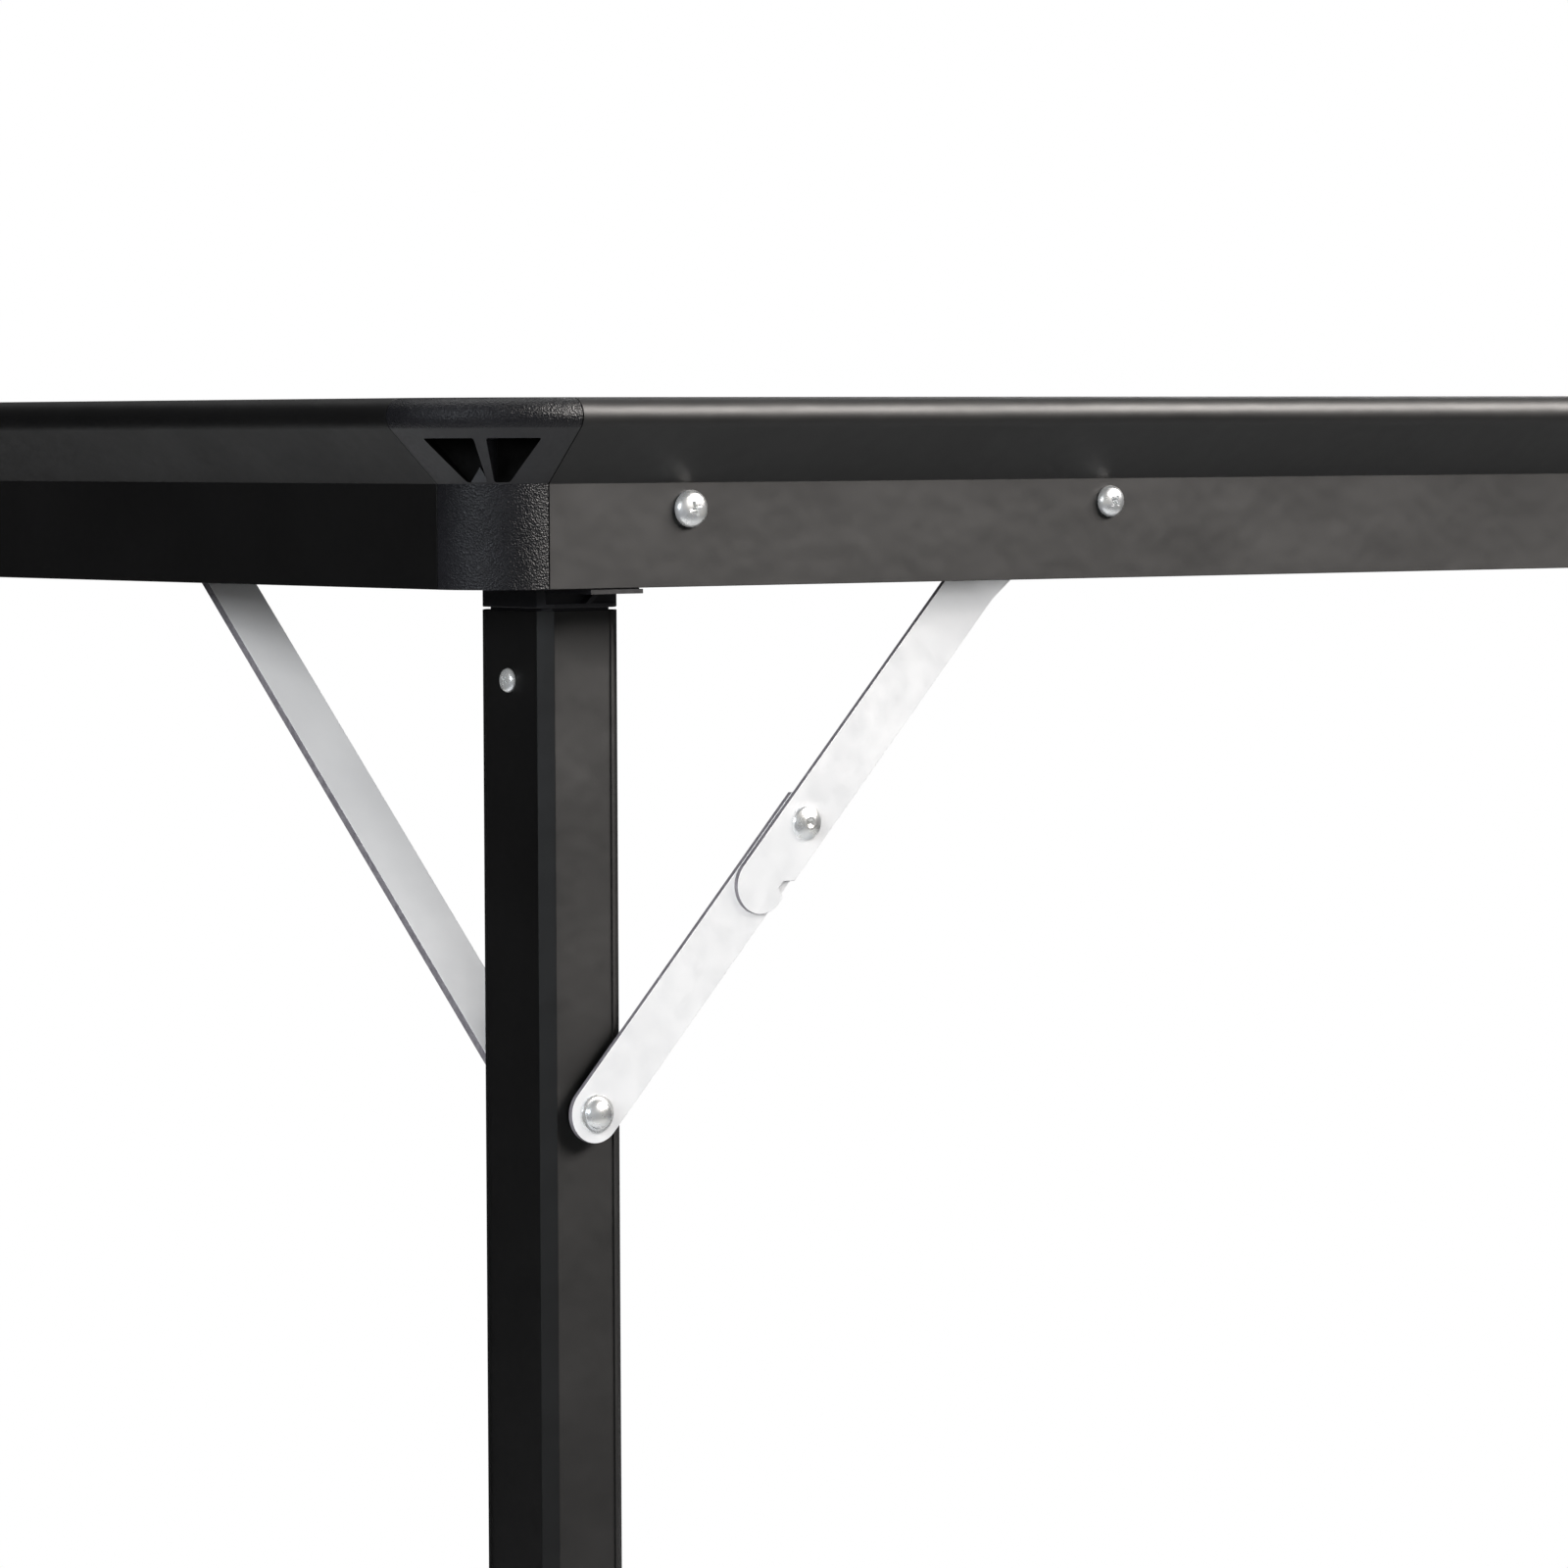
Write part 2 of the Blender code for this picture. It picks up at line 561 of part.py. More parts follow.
def stay_brackets():
    """Steel plates on the long skirts, each with the stud that its stay turns on."""
    start, end, bottom = STAY_PLATE
    plate = box("stay_bracket", corner(start, BASE[0], bottom), corner(end, BASE[1], BASE_TOP))
    outer = UPPER_DEPTH - JOGGLE_STEP
    inner = outer + STAY_THICK + GAP
    stud = [(0, inner + 0.0018), (STUD_RADIUS, inner + 0.0015), (0.0050, inner),
            (STUD_RADIUS, inner), (STUD_RADIUS, outer - GAP), (0.0055, outer - GAP),
            (0.0055, BASE[0] + 0.001), (0, BASE[0] + 0.001)]
    boolean(plate, turn("stud", stud, corner(STAY_TOP[0], 0, STAY_TOP[1]), Y), "UNION")
    place_at_corners(plate, "stay_bracket", "zinc_steel")


# Stays -------------------------------------------------------------------------------------

def stay_axes(start, end):
    """Unit directions along a stay bar from start to end, and across it to the leg's side."""
    along = Vector((end[0] - start[0], 0, end[1] - start[1]))
    length = along.length
    along.normalize()
    return along, Y.cross(along), length


def stay_hole(name, radius, point, depth):
    """A rivet hole's cutter through a bar."""
    return turn(name, bore_profile(radius, 0.004), corner(point[0], depth, point[1]), Y, 12)


def joggle(bar, origin, along):
    """Steps the part of a bar beyond the joggle outward, towards the skirt."""
    shape = bmesh.new()
    shape.from_mesh(bar.data)
    for distance in JOGGLE:
        bmesh.ops.bisect_plane(shape, geom=shape.verts[:] + shape.edges[:] + shape.faces[:],
                               plane_co=origin + along * distance, plane_no=along)
    for vertex in shape.verts:
        reach = (vertex.co - origin).dot(along)
        share = (reach - JOGGLE[0]) / (JOGGLE[1] - JOGGLE[0])
        vertex.co.y -= JOGGLE_STEP * min(max(share, 0.0), 1.0)
    shape.to_mesh(bar.data)
    shape.free()


def stay_upper_bars(parents):
    """Upper bars: a tail past the elbow with a notch, and a step out to the bracket's stud."""
    along, across, length = stay_axes(STAY_ELBOW, STAY_TOP)
    half = STAY_WIDTH / 2
    tail = UPPER_TAIL - half
    notch_start, notch_end, notch_depth = NOTCH
    outline = arc((length, 0), half, -90, 90, 8)
    outline += [(-notch_start, half), (-notch_start - 0.0025, half - notch_depth),
                (-notch_end + 0.001, half - notch_depth), (-notch_end, half)]
    outline += arc((-tail, 0), half, 90, 270, 8)
    depth = UPPER_DEPTH + STAY_THICK / 2
    origin = corner(STAY_ELBOW[0], depth, STAY_ELBOW[1])
    bar = extrude("upper_bar", [outline], STAY_THICK, origin, along, across)
    joggle(bar, origin, along)
    boolean(bar, stay_hole("elbow_hole", RIVET_RADIUS + GAP, STAY_ELBOW, depth), "DIFFERENCE")
    top = stay_hole("stud_hole", STUD_RADIUS + GAP, STAY_TOP, depth - JOGGLE_STEP)
    boolean(bar, top, "DIFFERENCE")
    place_at_corners(bar, "stay_upper_bar", "silver_aluminium", parents)


def stay_lower_bars(parents):
    """Lower bars: round ended at the leg, with one square corner left at the elbow."""
    along, across, length = stay_axes(STAY_ELBOW, STAY_FOOT)
    half = STAY_WIDTH / 2
    outline = arc((length, 0), half, -90, 90, 8) + [(-LOWER_HEAD, half)]
    outline += arc((0, 0), half, 150, 270, 6)
    depth = LOWER_DEPTH + STAY_THICK / 2
    origin = corner(STAY_ELBOW[0], depth, STAY_ELBOW[1])
    bar = extrude("lower_bar", [outline], STAY_THICK, origin, along, across)
    boolean(bar, stay_hole("elbow_hole", RIVET_RADIUS + GAP, STAY_ELBOW, depth), "DIFFERENCE")
    boolean(bar, stay_hole("foot_hole", RIVET_RADIUS + GAP, STAY_FOOT, depth), "DIFFERENCE")
    place_at_corners(bar, "stay_lower_bar", "silver_aluminium", parents)


def elbow_rivets(parents):
    """Elbow rivets: a low cone with a dimple outside, and a flat tail between bar and leg."""
    face = UPPER_DEPTH - GAP
    back = LOWER_DEPTH + STAY_THICK + GAP
    profile = [(0, back + 0.0012), (0.0040, back + 0.0010), (0.0042, back), (RIVET_RADIUS, back),
               (RIVET_RADIUS, face), (0.00470, face), (0.00460, face - 0.0010),
               (0.0030, face - 0.0019), (0.0012, face - 0.0023), (0.0008, face - 0.0019),
               (0, face - 0.0018)]
    rivet = turn("elbow_rivet", profile, corner(STAY_ELBOW[0], 0, STAY_ELBOW[1]), Y)
    place_at_corners(rivet, "elbow_rivet", "zinc_steel", parents)


def leg_rivets(parents):
    """Leg rivets: a dome on a washer outside, and a spacer that ends just short of the leg."""
    face = LOWER_DEPTH - GAP
    back = LOWER_DEPTH + STAY_THICK + GAP
    end = LEG_FACE - GAP
    profile = [(0, end), (0.0060, end), (0.0060, back), (RIVET_RADIUS, back),
               (RIVET_RADIUS, face), (0.0052, face), (0.0052, face - 0.0006),
               (0.0042, face - 0.0006)]
    profile += [(0.0042 * math.cos(math.radians(angle)),
                 face - 0.0006 - 0.0024 * math.sin(math.radians(angle)))
                for angle in range(30, 91, 30)]
    profile[-1] = (0, profile[-1][1])
    rivet = turn("leg_rivet", profile, corner(STAY_FOOT[0], 0, STAY_FOOT[1]), Y)
    place_at_corners(rivet, "leg_rivet", "zinc_steel", parents)


def corner_empties(name, point):
    """One empty on the same joint axis at each corner."""
    empties = {}
    for end, my in ENDS.items():
        for side, mx in SIDES.items():
            place_at = Vector((mx * point.x, my * point.y, point.z))
            empties[f"{end}_{side}"] = joint_empty(f"{name}_{end}_{side}_axis", place_at)
    return empties


for old in list(bpy.data.objects):
    bpy.data.objects.remove(old)
parts = bpy.data.collections.new("folding_table")
cutters = bpy.data.collections.new("cutters")
for group in (parts, cutters):
    bpy.context.scene.collection.children.link(group)

frame_axes = {side: joint_empty(f"leg_frame_{side}_axis",
                                (mirror * (LEG_IN_X - SKIRT_X), 0, PIVOT_Z))
              for side, mirror in SIDES.items()}
leg_parents = {f"{end}_{side}": frame_axes[side] for end in ENDS for side in SIDES}
upper_parents = corner_empties("stay_upper", corner(STAY_TOP[0], UPPER_DEPTH, STAY_TOP[1]))
lower_parents = corner_empties("stay_lower", corner(STAY_ELBOW[0], UPPER_DEPTH, STAY_ELBOW[1]))

tabletop_panel()
rails()
corner_caps()
hinge_brackets()
hinge_screws()
stay_brackets()
leg_tubes(leg_parents)
leg_heads(leg_parents)
leg_feet(leg_parents)
hinge_pins(leg_parents)
cross_tubes(frame_axes)
leg_braces(leg_parents)
stay_upper_bars(upper_parents)
stay_lower_bars(lower_parents)
elbow_rivets(lower_parents)
leg_rivets(lower_parents)
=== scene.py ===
"""Looks of the folding table: detailed pieces, materials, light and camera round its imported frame.

Units are metres. Every piece of a corner is built once at the front left corner, where depths are
measured in from the two skirts' outer faces, and mirrored to the other three corners.
"""
import json
import math

import bmesh
import bpy
from mathutils import Matrix, Vector


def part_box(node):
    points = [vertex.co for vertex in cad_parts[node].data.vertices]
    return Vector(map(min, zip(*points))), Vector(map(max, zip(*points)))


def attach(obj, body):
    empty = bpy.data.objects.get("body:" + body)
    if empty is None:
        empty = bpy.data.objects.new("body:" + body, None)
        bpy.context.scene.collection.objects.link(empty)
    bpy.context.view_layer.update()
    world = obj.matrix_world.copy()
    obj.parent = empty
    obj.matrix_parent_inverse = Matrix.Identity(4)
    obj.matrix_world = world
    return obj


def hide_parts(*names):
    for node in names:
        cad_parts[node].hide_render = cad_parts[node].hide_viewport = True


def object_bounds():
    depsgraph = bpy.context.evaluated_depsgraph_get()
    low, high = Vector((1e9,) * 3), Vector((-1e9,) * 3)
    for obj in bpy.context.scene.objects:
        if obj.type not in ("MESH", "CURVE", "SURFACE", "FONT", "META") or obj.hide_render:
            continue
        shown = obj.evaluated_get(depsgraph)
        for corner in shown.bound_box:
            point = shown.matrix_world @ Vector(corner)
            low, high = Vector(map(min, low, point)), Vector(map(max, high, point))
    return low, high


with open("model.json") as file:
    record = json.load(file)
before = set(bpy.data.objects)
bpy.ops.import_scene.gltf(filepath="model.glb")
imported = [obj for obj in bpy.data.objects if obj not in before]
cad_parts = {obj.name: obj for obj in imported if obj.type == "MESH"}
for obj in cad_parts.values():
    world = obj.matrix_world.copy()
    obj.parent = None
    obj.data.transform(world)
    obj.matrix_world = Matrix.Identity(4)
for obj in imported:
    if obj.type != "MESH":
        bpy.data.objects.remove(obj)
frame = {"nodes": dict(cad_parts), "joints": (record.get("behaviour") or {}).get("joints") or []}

cad_low, cad_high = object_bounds()

# Sections shared with the CAD parts, except that the corner windows are cut a little deeper
GAP = 0.0003
RIM_HEIGHT = 0.0500
RIM_OVERHANG = 0.0158
NOSE_RADIUS = 0.0048
SLOPE_FOOT = 0.0276
RIM_WALL = 0.0017
LIP_COVER = 0.0090
GROOVE_DEPTH = 0.0043
LEDGE_TOP = 0.0340
LEDGE_DEPTH = 0.0140
CORNER_RADIUS = 0.0208
WINDOW_TOP = 0.0395
WINDOW_BOTTOM = 0.0280
WINDOW_RIB = 0.0033
RIB_FOOT = 0.0015
WINDOW_TOP_REACH = 0.0156
WINDOW_BOTTOM_REACH = 0.0056
WINDOW_BACK = 0.0170
COLLAR_PEAK = (-0.0022, 0.0320)
COLLAR_SPREAD = 0.0024
LEG_CHAMFER = 0.00335
LEG_LIP = 0.0010
LEG_RECESS = 0.0004
LEG_WALL = 0.0014
HEAD_DROP = 0.0056
PIVOT_RISE = 0.0156
STAY_WIDTH = 0.0158
STAY_THICK = 0.0016
UPPER_TAIL = 0.0300
BEND_START = 0.0874
BEND_END = 0.1034
BEND_STEP = 0.0047
NOTCH = (0.0140, 0.0200, 0.0028)
LOWER_HEAD = 0.0040
BRACE_THICK = 0.0025
BRACE_WIDTH = 0.0160

# Details that only this script has
STAY_SCREW = (0.2098, 0.0212)
LEG_SCREW_DROP = 0.025
FLOOR_RADIUS = 1.7
FLOOR_FADE = (0.95, 1.68)

# Places, from the frame
SKIRT = Vector((cad_high.x - RIM_OVERHANG, cad_high.y - RIM_OVERHANG, cad_high.z - RIM_HEIGHT))
JOINTS = {joint["name"]: Vector(joint["pos_m"]) for joint in frame["joints"]}
X, Y, Z = Vector((1, 0, 0)), Vector((0, 1, 0)), Vector((0, 0, 1))
CORNERS = {"front_left": (1, 1), "front_right": (-1, 1),
           "back_left": (1, -1), "back_right": (-1, -1)}


def corner(inward_x, inward_y, rise):
    """World point at the front left corner, from depths inside the skirts and a height."""
    return Vector((inward_x - SKIRT.x, inward_y - SKIRT.y, SKIRT.z + rise))


def middle_of(node):
    """Middle of a CAD node's box."""
    low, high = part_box(node)
    return (low + high) / 2


def axes_matrix(origin, across, up):
    """Frame with local X and Y along the two directions and local Z along their cross product."""
    return Matrix.Translation(origin) @ Matrix((across, up, across.cross(up))).transposed().to_4x4()


# Materials ---------------------------------------------------------------------------------

def new_material(name, roughness, metallic):
    """A Principled material with its shader and a place for its texture coordinates."""
    material = bpy.data.materials.new(name)
    material.use_nodes = True
    shader = material.node_tree.nodes["Principled BSDF"]
    shader.inputs["Roughness"].default_value = roughness
    shader.inputs["Metallic"].default_value = metallic
    coordinates = material.node_tree.nodes.new("ShaderNodeTexCoord")
    return material, shader, coordinates.outputs["Object"]


def noise(tree, vector, scale, detail=2.0, roughness=0.5):
    """A noise texture's value."""
    node = tree.nodes.new("ShaderNodeTexNoise")
    node.inputs["Scale"].default_value = scale
    node.inputs["Detail"].default_value = detail
    node.inputs["Roughness"].default_value = roughness
    tree.links.new(vector, node.inputs["Vector"])
    return node.outputs["Fac"]


def ramp(tree, value, stops):
    """A colour ramp over a value; each stop is (position, colour)."""
    node = tree.nodes.new("ShaderNodeValToRGB")
    elements = node.color_ramp.elements
    while len(elements) < len(stops):
        elements.new(0.5)
    for element, (position, colour) in zip(elements, stops):
        element.position = position
        element.color = (*colour, 1)
    tree.links.new(value, node.inputs["Fac"])
    return node.outputs["Color"]


def grey_ramp(tree, value, low, high, low_at=0.3, high_at=0.7):
    """A ramp between two grey levels, for roughness."""
    return ramp(tree, value, [(low_at, (low,) * 3), (high_at, (high,) * 3)])


def bump(tree, shader, height, strength, distance):
    """Adds a bump to the shader's normal, after any bump already there."""
    node = tree.nodes.new("ShaderNodeBump")
    node.inputs["Strength"].default_value = strength
    node.inputs["Distance"].default_value = distance
    tree.links.new(height, node.inputs["Height"])
    if shader.inputs["Normal"].is_linked:
        tree.links.new(shader.inputs["Normal"].links[0].from_socket, node.inputs["Normal"])
    tree.links.new(node.outputs["Normal"], shader.inputs["Normal"])


def black_satin():
    """Black coated aluminium: satin, faintly clouded, with a fine orange-peel grain."""
    material, shader, place = new_material("black_satin", 0.46, 0.0)
    tree = material.node_tree
    cloud = noise(tree, place, 18, 5)
    colour = ramp(tree, cloud, [(0.3, (0.0014, 0.0013, 0.0012)), (0.7, (0.0024, 0.0022, 0.0021))])
    tree.links.new(colour, shader.inputs["Base Color"])
    rough = grey_ramp(tree, noise(tree, place, 22, 5, 0.6), 0.46, 0.54)
    tree.links.new(rough, shader.inputs["Roughness"])
    bump(tree, shader, noise(tree, place, 2600, 2), 0.18, 0.00004)
    bump(tree, shader, noise(tree, place, 220, 3), 0.05, 0.0002)
    bump(tree, shader, noise(tree, place, 28, 3), 0.6, 0.0015)
    return material


def black_plastic(name, grain):
    """Moulded black plastic; the grain is the height of its leathery texture in metres."""
    material, shader, place = new_material(name, 0.40, 0.0)
    shader.inputs["Specular IOR Level"].default_value = 0.28 if grain else 0.5
    tree = material.node_tree
    colour = ramp(tree, noise(tree, place, 40, 4),
                  [(0.3, (0.0055, 0.0055, 0.0065)), (0.7, (0.0085, 0.0085, 0.0100))])
    tree.links.new(colour, shader.inputs["Base Color"])
    rough_low, rough_high = (0.26, 0.42) if grain else (0.38, 0.48)
    rough = grey_ramp(tree, noise(tree, place, 900, 3), rough_low, rough_high)
    tree.links.new(rough, shader.inputs["Roughness"])
    if grain:
        cells = tree.nodes.new("ShaderNodeTexVoronoi")
        cells.feature = "SMOOTH_F1"
        cells.inputs["Scale"].default_value = 2100
        cells.inputs["Smoothness"].default_value = 0.5
        tree.links.new(place, cells.inputs["Vector"])
        bump(tree, shader, cells.outputs["Distance"], 1.0, grain)
        bump(tree, shader, noise(tree, place, 1500, 3, 0.65), 0.9, grain)
    else:
        bump(tree, shader, noise(tree, place, 1500, 2), 0.1, 0.00003)
    return material


def pocket_painted_shade():
    """The inside of the corner caps' windows: dull, with fine tool marks, and painted near black as the
    shade of deep pockets.
    """
    material, shader, place = new_material("pocket_painted_shade", 0.8, 0.0)
    shader.inputs["Specular IOR Level"].default_value = 0.12
    tree = material.node_tree
    # Painted shade: near black, darker than the cap's own plastic
    colour = ramp(tree, noise(tree, place, 300, 4), [(0.3, (0.0012,) * 3), (0.7, (0.0028,) * 3)])
    tree.links.new(colour, shader.inputs["Base Color"])
    tree.links.new(grey_ramp(tree, noise(tree, place, 500, 3), 0.72, 0.9), shader.inputs["Roughness"])
    bump(tree, shader, noise(tree, place, 1200, 3), 0.3, 0.0001)
    return material


def top_laminate():
    """Dark laminate: two-tone speckle with a fine pebbled surface."""
    material, shader, place = new_material("top_laminate", 0.65, 0.0)
    shader.inputs["Specular IOR Level"].default_value = 0.22
    tree = material.node_tree
    speckle = noise(tree, place, 900, 4, 0.7)
    colour = ramp(tree, speckle, [(0.35, (0.030, 0.031, 0.033)), (0.62, (0.055, 0.056, 0.059)),
                                  (0.72, (0.085, 0.086, 0.088))])
    tree.links.new(colour, shader.inputs["Base Color"])
    tree.links.new(grey_ramp(tree, noise(tree, place, 25, 5), 0.60, 0.72), shader.inputs["Roughness"])
    bump(tree, shader, noise(tree, place, 1200, 3, 0.6), 0.35, 0.0001)
    return material


def silver_aluminium():
    """Satin silver bar: bright, with a very fine grain and faint handling marks."""
    material, shader, place = new_material("silver_aluminium", 0.40, 0.15)
    tree = material.node_tree
    colour = ramp(tree, noise(tree, place, 35, 5), [(0.3, (0.86, 0.86, 0.865)), (0.7, (0.93, 0.93, 0.93))])
    tree.links.new(colour, shader.inputs["Base Color"])
    tree.links.new(grey_ramp(tree, noise(tree, place, 180, 5), 0.34, 0.46), shader.inputs["Roughness"])
    bump(tree, shader, noise(tree, place, 2400, 2), 0.12, 0.00003)
    return material


def cut_edge_shade():
    """Cut edges of the silver bars: rougher than their faces, and painted darker as the shade the edges
    sit in.
    """
    material, shader, place = new_material("cut_edge_shade", 0.52, 0.3)
    tree = material.node_tree
    # Painted shade: the cut edges are coloured dark grey, far below the silver faces
    colour = ramp(tree, noise(tree, place, 500, 3), [(0.3, (0.17, 0.16, 0.18)), (0.7, (0.26, 0.25, 0.27))])
    tree.links.new(colour, shader.inputs["Base Color"])
    tree.links.new(grey_ramp(tree, noise(tree, place, 700, 3), 0.46, 0.60), shader.inputs["Roughness"])
    bump(tree, shader, noise(tree, place, 1600, 3), 0.25, 0.00005)
    return material


def zinc_steel():
    """Bright zinc plated steel, slightly uneven in tint and gloss."""
    material, shader, place = new_material("zinc_steel", 0.25, 0.75)
    tree = material.node_tree
    tint = ramp(tree, noise(tree, place, 260, 3), [(0.3, (0.76, 0.78, 0.80)), (0.7, (0.88, 0.88, 0.85))])
    tree.links.new(tint, shader.inputs["Base Color"])
    tree.links.new(grey_ramp(tree, noise(tree, place, 300, 3), 0.24, 0.32), shader.inputs["Roughness"])
    bump(tree, shader, noise(tree, place, 1500, 2), 0.03, 0.00003)
    return material


def foot_rubber():
    """Dull black moulded foot."""
    material, shader, place = new_material("foot_rubber", 0.62, 0.0)
    tree = material.node_tree
    colour = ramp(tree, noise(tree, place, 90, 4), [(0.3, (0.016,) * 3), (0.7, (0.026,) * 3)])
    tree.links.new(colour, shader.inputs["Base Color"])
    tree.links.new(grey_ramp(tree, noise(tree, place, 400, 3), 0.55, 0.70), shader.inputs["Roughness"])
    bump(tree, shader, noise(tree, place, 1400, 3), 0.4, 0.00012)
    return material


RAIL = black_satin()
GRAINED = black_plastic("grained_plastic", 0.00016)
SMOOTH = black_plastic("smooth_plastic", 0)
POCKET_SHADE = pocket_painted_shade()
LAMINATE = top_laminate()
SILVER = silver_aluminium()
CUT_EDGE_SHADE = cut_edge_shade()
ZINC = zinc_steel()
RUBBER = foot_rubber()


# Shapes ------------------------------------------------------------------------------------

def arc(centre, radius, start, end, steps):
    """Points along an arc, angles in degrees."""
    points = []
    for step in range(steps + 1):
        angle = math.radians(start + (end - start) * step / steps)
        points.append((centre[0] + radius * math.cos(angle), centre[1] + radius * math.sin(angle)))
    return points


def prism(outline, depth):
    """A solid with the outline in its XY plane, extruded along Z and centred on Z = 0."""
    shape = bmesh.new()
    face = shape.faces.new([shape.verts.new((x, y, -depth / 2)) for x, y in outline])
    extruded = bmesh.ops.extrude_face_region(shape, geom=[face], use_keep_orig=True)
    raised = [item for item in extruded["geom"] if isinstance(item, bmesh.types.BMVert)]
    bmesh.ops.translate(shape, verts=raised, vec=(0, 0, depth))
    bmesh.ops.recalc_face_normals(shape, faces=shape.faces)
    return shape


def lathe(profile, steps=48):
    """A solid turned about Z from (radius, height) points that start and end on the axis."""
    shape = bmesh.new()
    rings = []
    for radius, height in profile:
        if radius == 0:
            rings.append([shape.verts.new((0, 0, height))])
            continue
        angles = [2 * math.pi * step / steps for step in range(steps)]
        ring = [(radius * math.cos(angle), radius * math.sin(angle), height) for angle in angles]
        rings.append([shape.verts.new(point) for point in ring])
    for lower, upper in zip(rings, rings[1:]):
        for step in range(steps):
            following = (step + 1) % steps
            corners = [lower[step % len(lower)], lower[following % len(lower)],
                       upper[following % len(upper)], upper[step % len(upper)]]
            distinct = list(dict.fromkeys(corners))
            if len(distinct) > 2:
                shape.faces.new(distinct)
    bmesh.ops.recalc_face_normals(shape, faces=shape.faces)
    return shape


def swept_arc(section, start, end, steps):
    """A closed section of (radius, height) points swept about Z between two angles, with ends."""
    shape = bmesh.new()
    rings = []
    for step in range(steps + 1):
        angle = math.radians(start + (end - start) * step / steps)
        rings.append([shape.verts.new((r * math.cos(angle), r * math.sin(angle), h)) for r, h in section])
    for first, second in zip(rings, rings[1:]):
        for index in range(len(section)):
            following = (index + 1) % len(section)
            shape.faces.new([first[index], first[following], second[following], second[index]])
    shape.faces.new(rings[0])
    shape.faces.new(rings[-1][::-1])
    bmesh.ops.recalc_face_normals(shape, faces=shape.faces)
    return shape


def rounded(shape, width, sharper_than=30, segments=2):
    """Bevels the solid's edges that turn by more than an angle in degrees."""
    limit = math.radians(sharper_than)
    edges = [edge for edge in shape.edges if edge.calc_face_angle(0) > limit]
    bmesh.ops.bevel(shape, geom=edges, offset=width, segments=segments, profile=0.5,
                    affect="EDGES", clamp_overlap=True)
    return shape


def give_edge_shade(shape, ends=False):
    """Gives a flat bar's cut edges its second material, the painted edge shade: its outline's sides, or
    its two ends.
    """
    shape.normal_update()
    for face in shape.faces:
        if (abs(face.normal.z) > 0.6) == ends:
            face.material_index = 1
    return shape


def placed(shape, matrix):
    """Moves a solid by a matrix."""
    bmesh.ops.transform(shape, matrix=matrix, verts=shape.verts)
    return shape


def mesh_from(name, shape):
    """Turns a solid into a mesh and frees it."""
    mesh = bpy.data.meshes.new(name)
    shape.to_mesh(mesh)
    shape.free()
    return mesh


def carved(shape, tools):
    """The solid after Boolean cuts or unions; tools are (solid, operation) pairs."""
    target = bpy.data.objects.new("carving", mesh_from("carving", shape))
    bpy.context.scene.collection.objects.link(target)
    cutters = []
    for tool, operation in tools:
        cutter = bpy.data.objects.new("cutter", mesh_from("cutter", tool))
        bpy.context.scene.collection.objects.link(cutter)
        modifier = target.modifiers.new("carve", "BOOLEAN")
        modifier.operation = operation
        modifier.object = cutter
        cutters.append(cutter)
    bpy.context.view_layer.update()
    depsgraph = bpy.context.evaluated_depsgraph_get()
    result = bmesh.new()
    result.from_mesh(bpy.data.meshes.new_from_object(target.evaluated_get(depsgraph)))
    bmesh.ops.remove_doubles(result, verts=result.verts, dist=0.000005)
    for item in [target, *cutters]:
        bpy.data.objects.remove(item)
    return result


def merged(*shapes):
    """One bmesh holding several separate solids."""
    whole = bmesh.new()
    for shape in shapes:
        mesh = mesh_from("part", shape)
        whole.from_mesh(mesh)
        bpy.data.meshes.remove(mesh)
    return whole


def add_piece(name, mesh, materials, body, nodes=()):
    """Puts a finished mesh in the scene, riding on a body and standing for CAD nodes."""
    mesh.shade_smooth()
    mesh.set_sharp_from_angle(angle=math.radians(40))
    for material in materials:
        mesh.materials.append(material)
    piece = bpy.data.objects.new(name, mesh)
    bpy.context.scene.collection.objects.link(piece)
    weighted = piece.modifiers.new("flat_faces", "WEIGHTED_NORMAL")
    weighted.keep_sharp = True
    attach(piece, body)
    if nodes:
        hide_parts(*nodes)
    return piece


def mirrored(mesh, name, mirror):
    """A copy of a mesh, mirrored across X or Y."""
    copy = mesh.copy()
    copy.name = name
    copy.transform(Matrix.Diagonal((mirror[0], mirror[1], 1, 1)))
    if mirror[0] * mirror[1] < 0:
        copy.flip_normals()
    return copy


def at_corners(name, shape, materials, body, node=None):
    """Places a front left solid at all four corners; body and node may hold {corner} and {side}."""
    mesh = mesh_from(name, shape)
    for corner_name, mirror in CORNERS.items():
        side = corner_name.split("_")[1]
        piece_name = f"{name}_{corner_name}"
        nodes = [node.format(corner=corner_name)] if node else []
        add_piece(piece_name, mirrored(mesh, piece_name, mirror), materials,
                  body.format(corner=corner_name, side=side), nodes)


# Rim and top -------------------------------------------------------------------------------

def slope_angle():
    """Direction, in degrees, of the normal of the slope that runs from the skirt to the nose."""
    out, up = RIM_OVERHANG - NOSE_RADIUS, RIM_HEIGHT - NOSE_RADIUS - SLOPE_FOOT
    reach = math.hypot(out, up)
    return math.degrees(math.atan2(up, out) - math.asin(NOSE_RADIUS / reach)) - 90


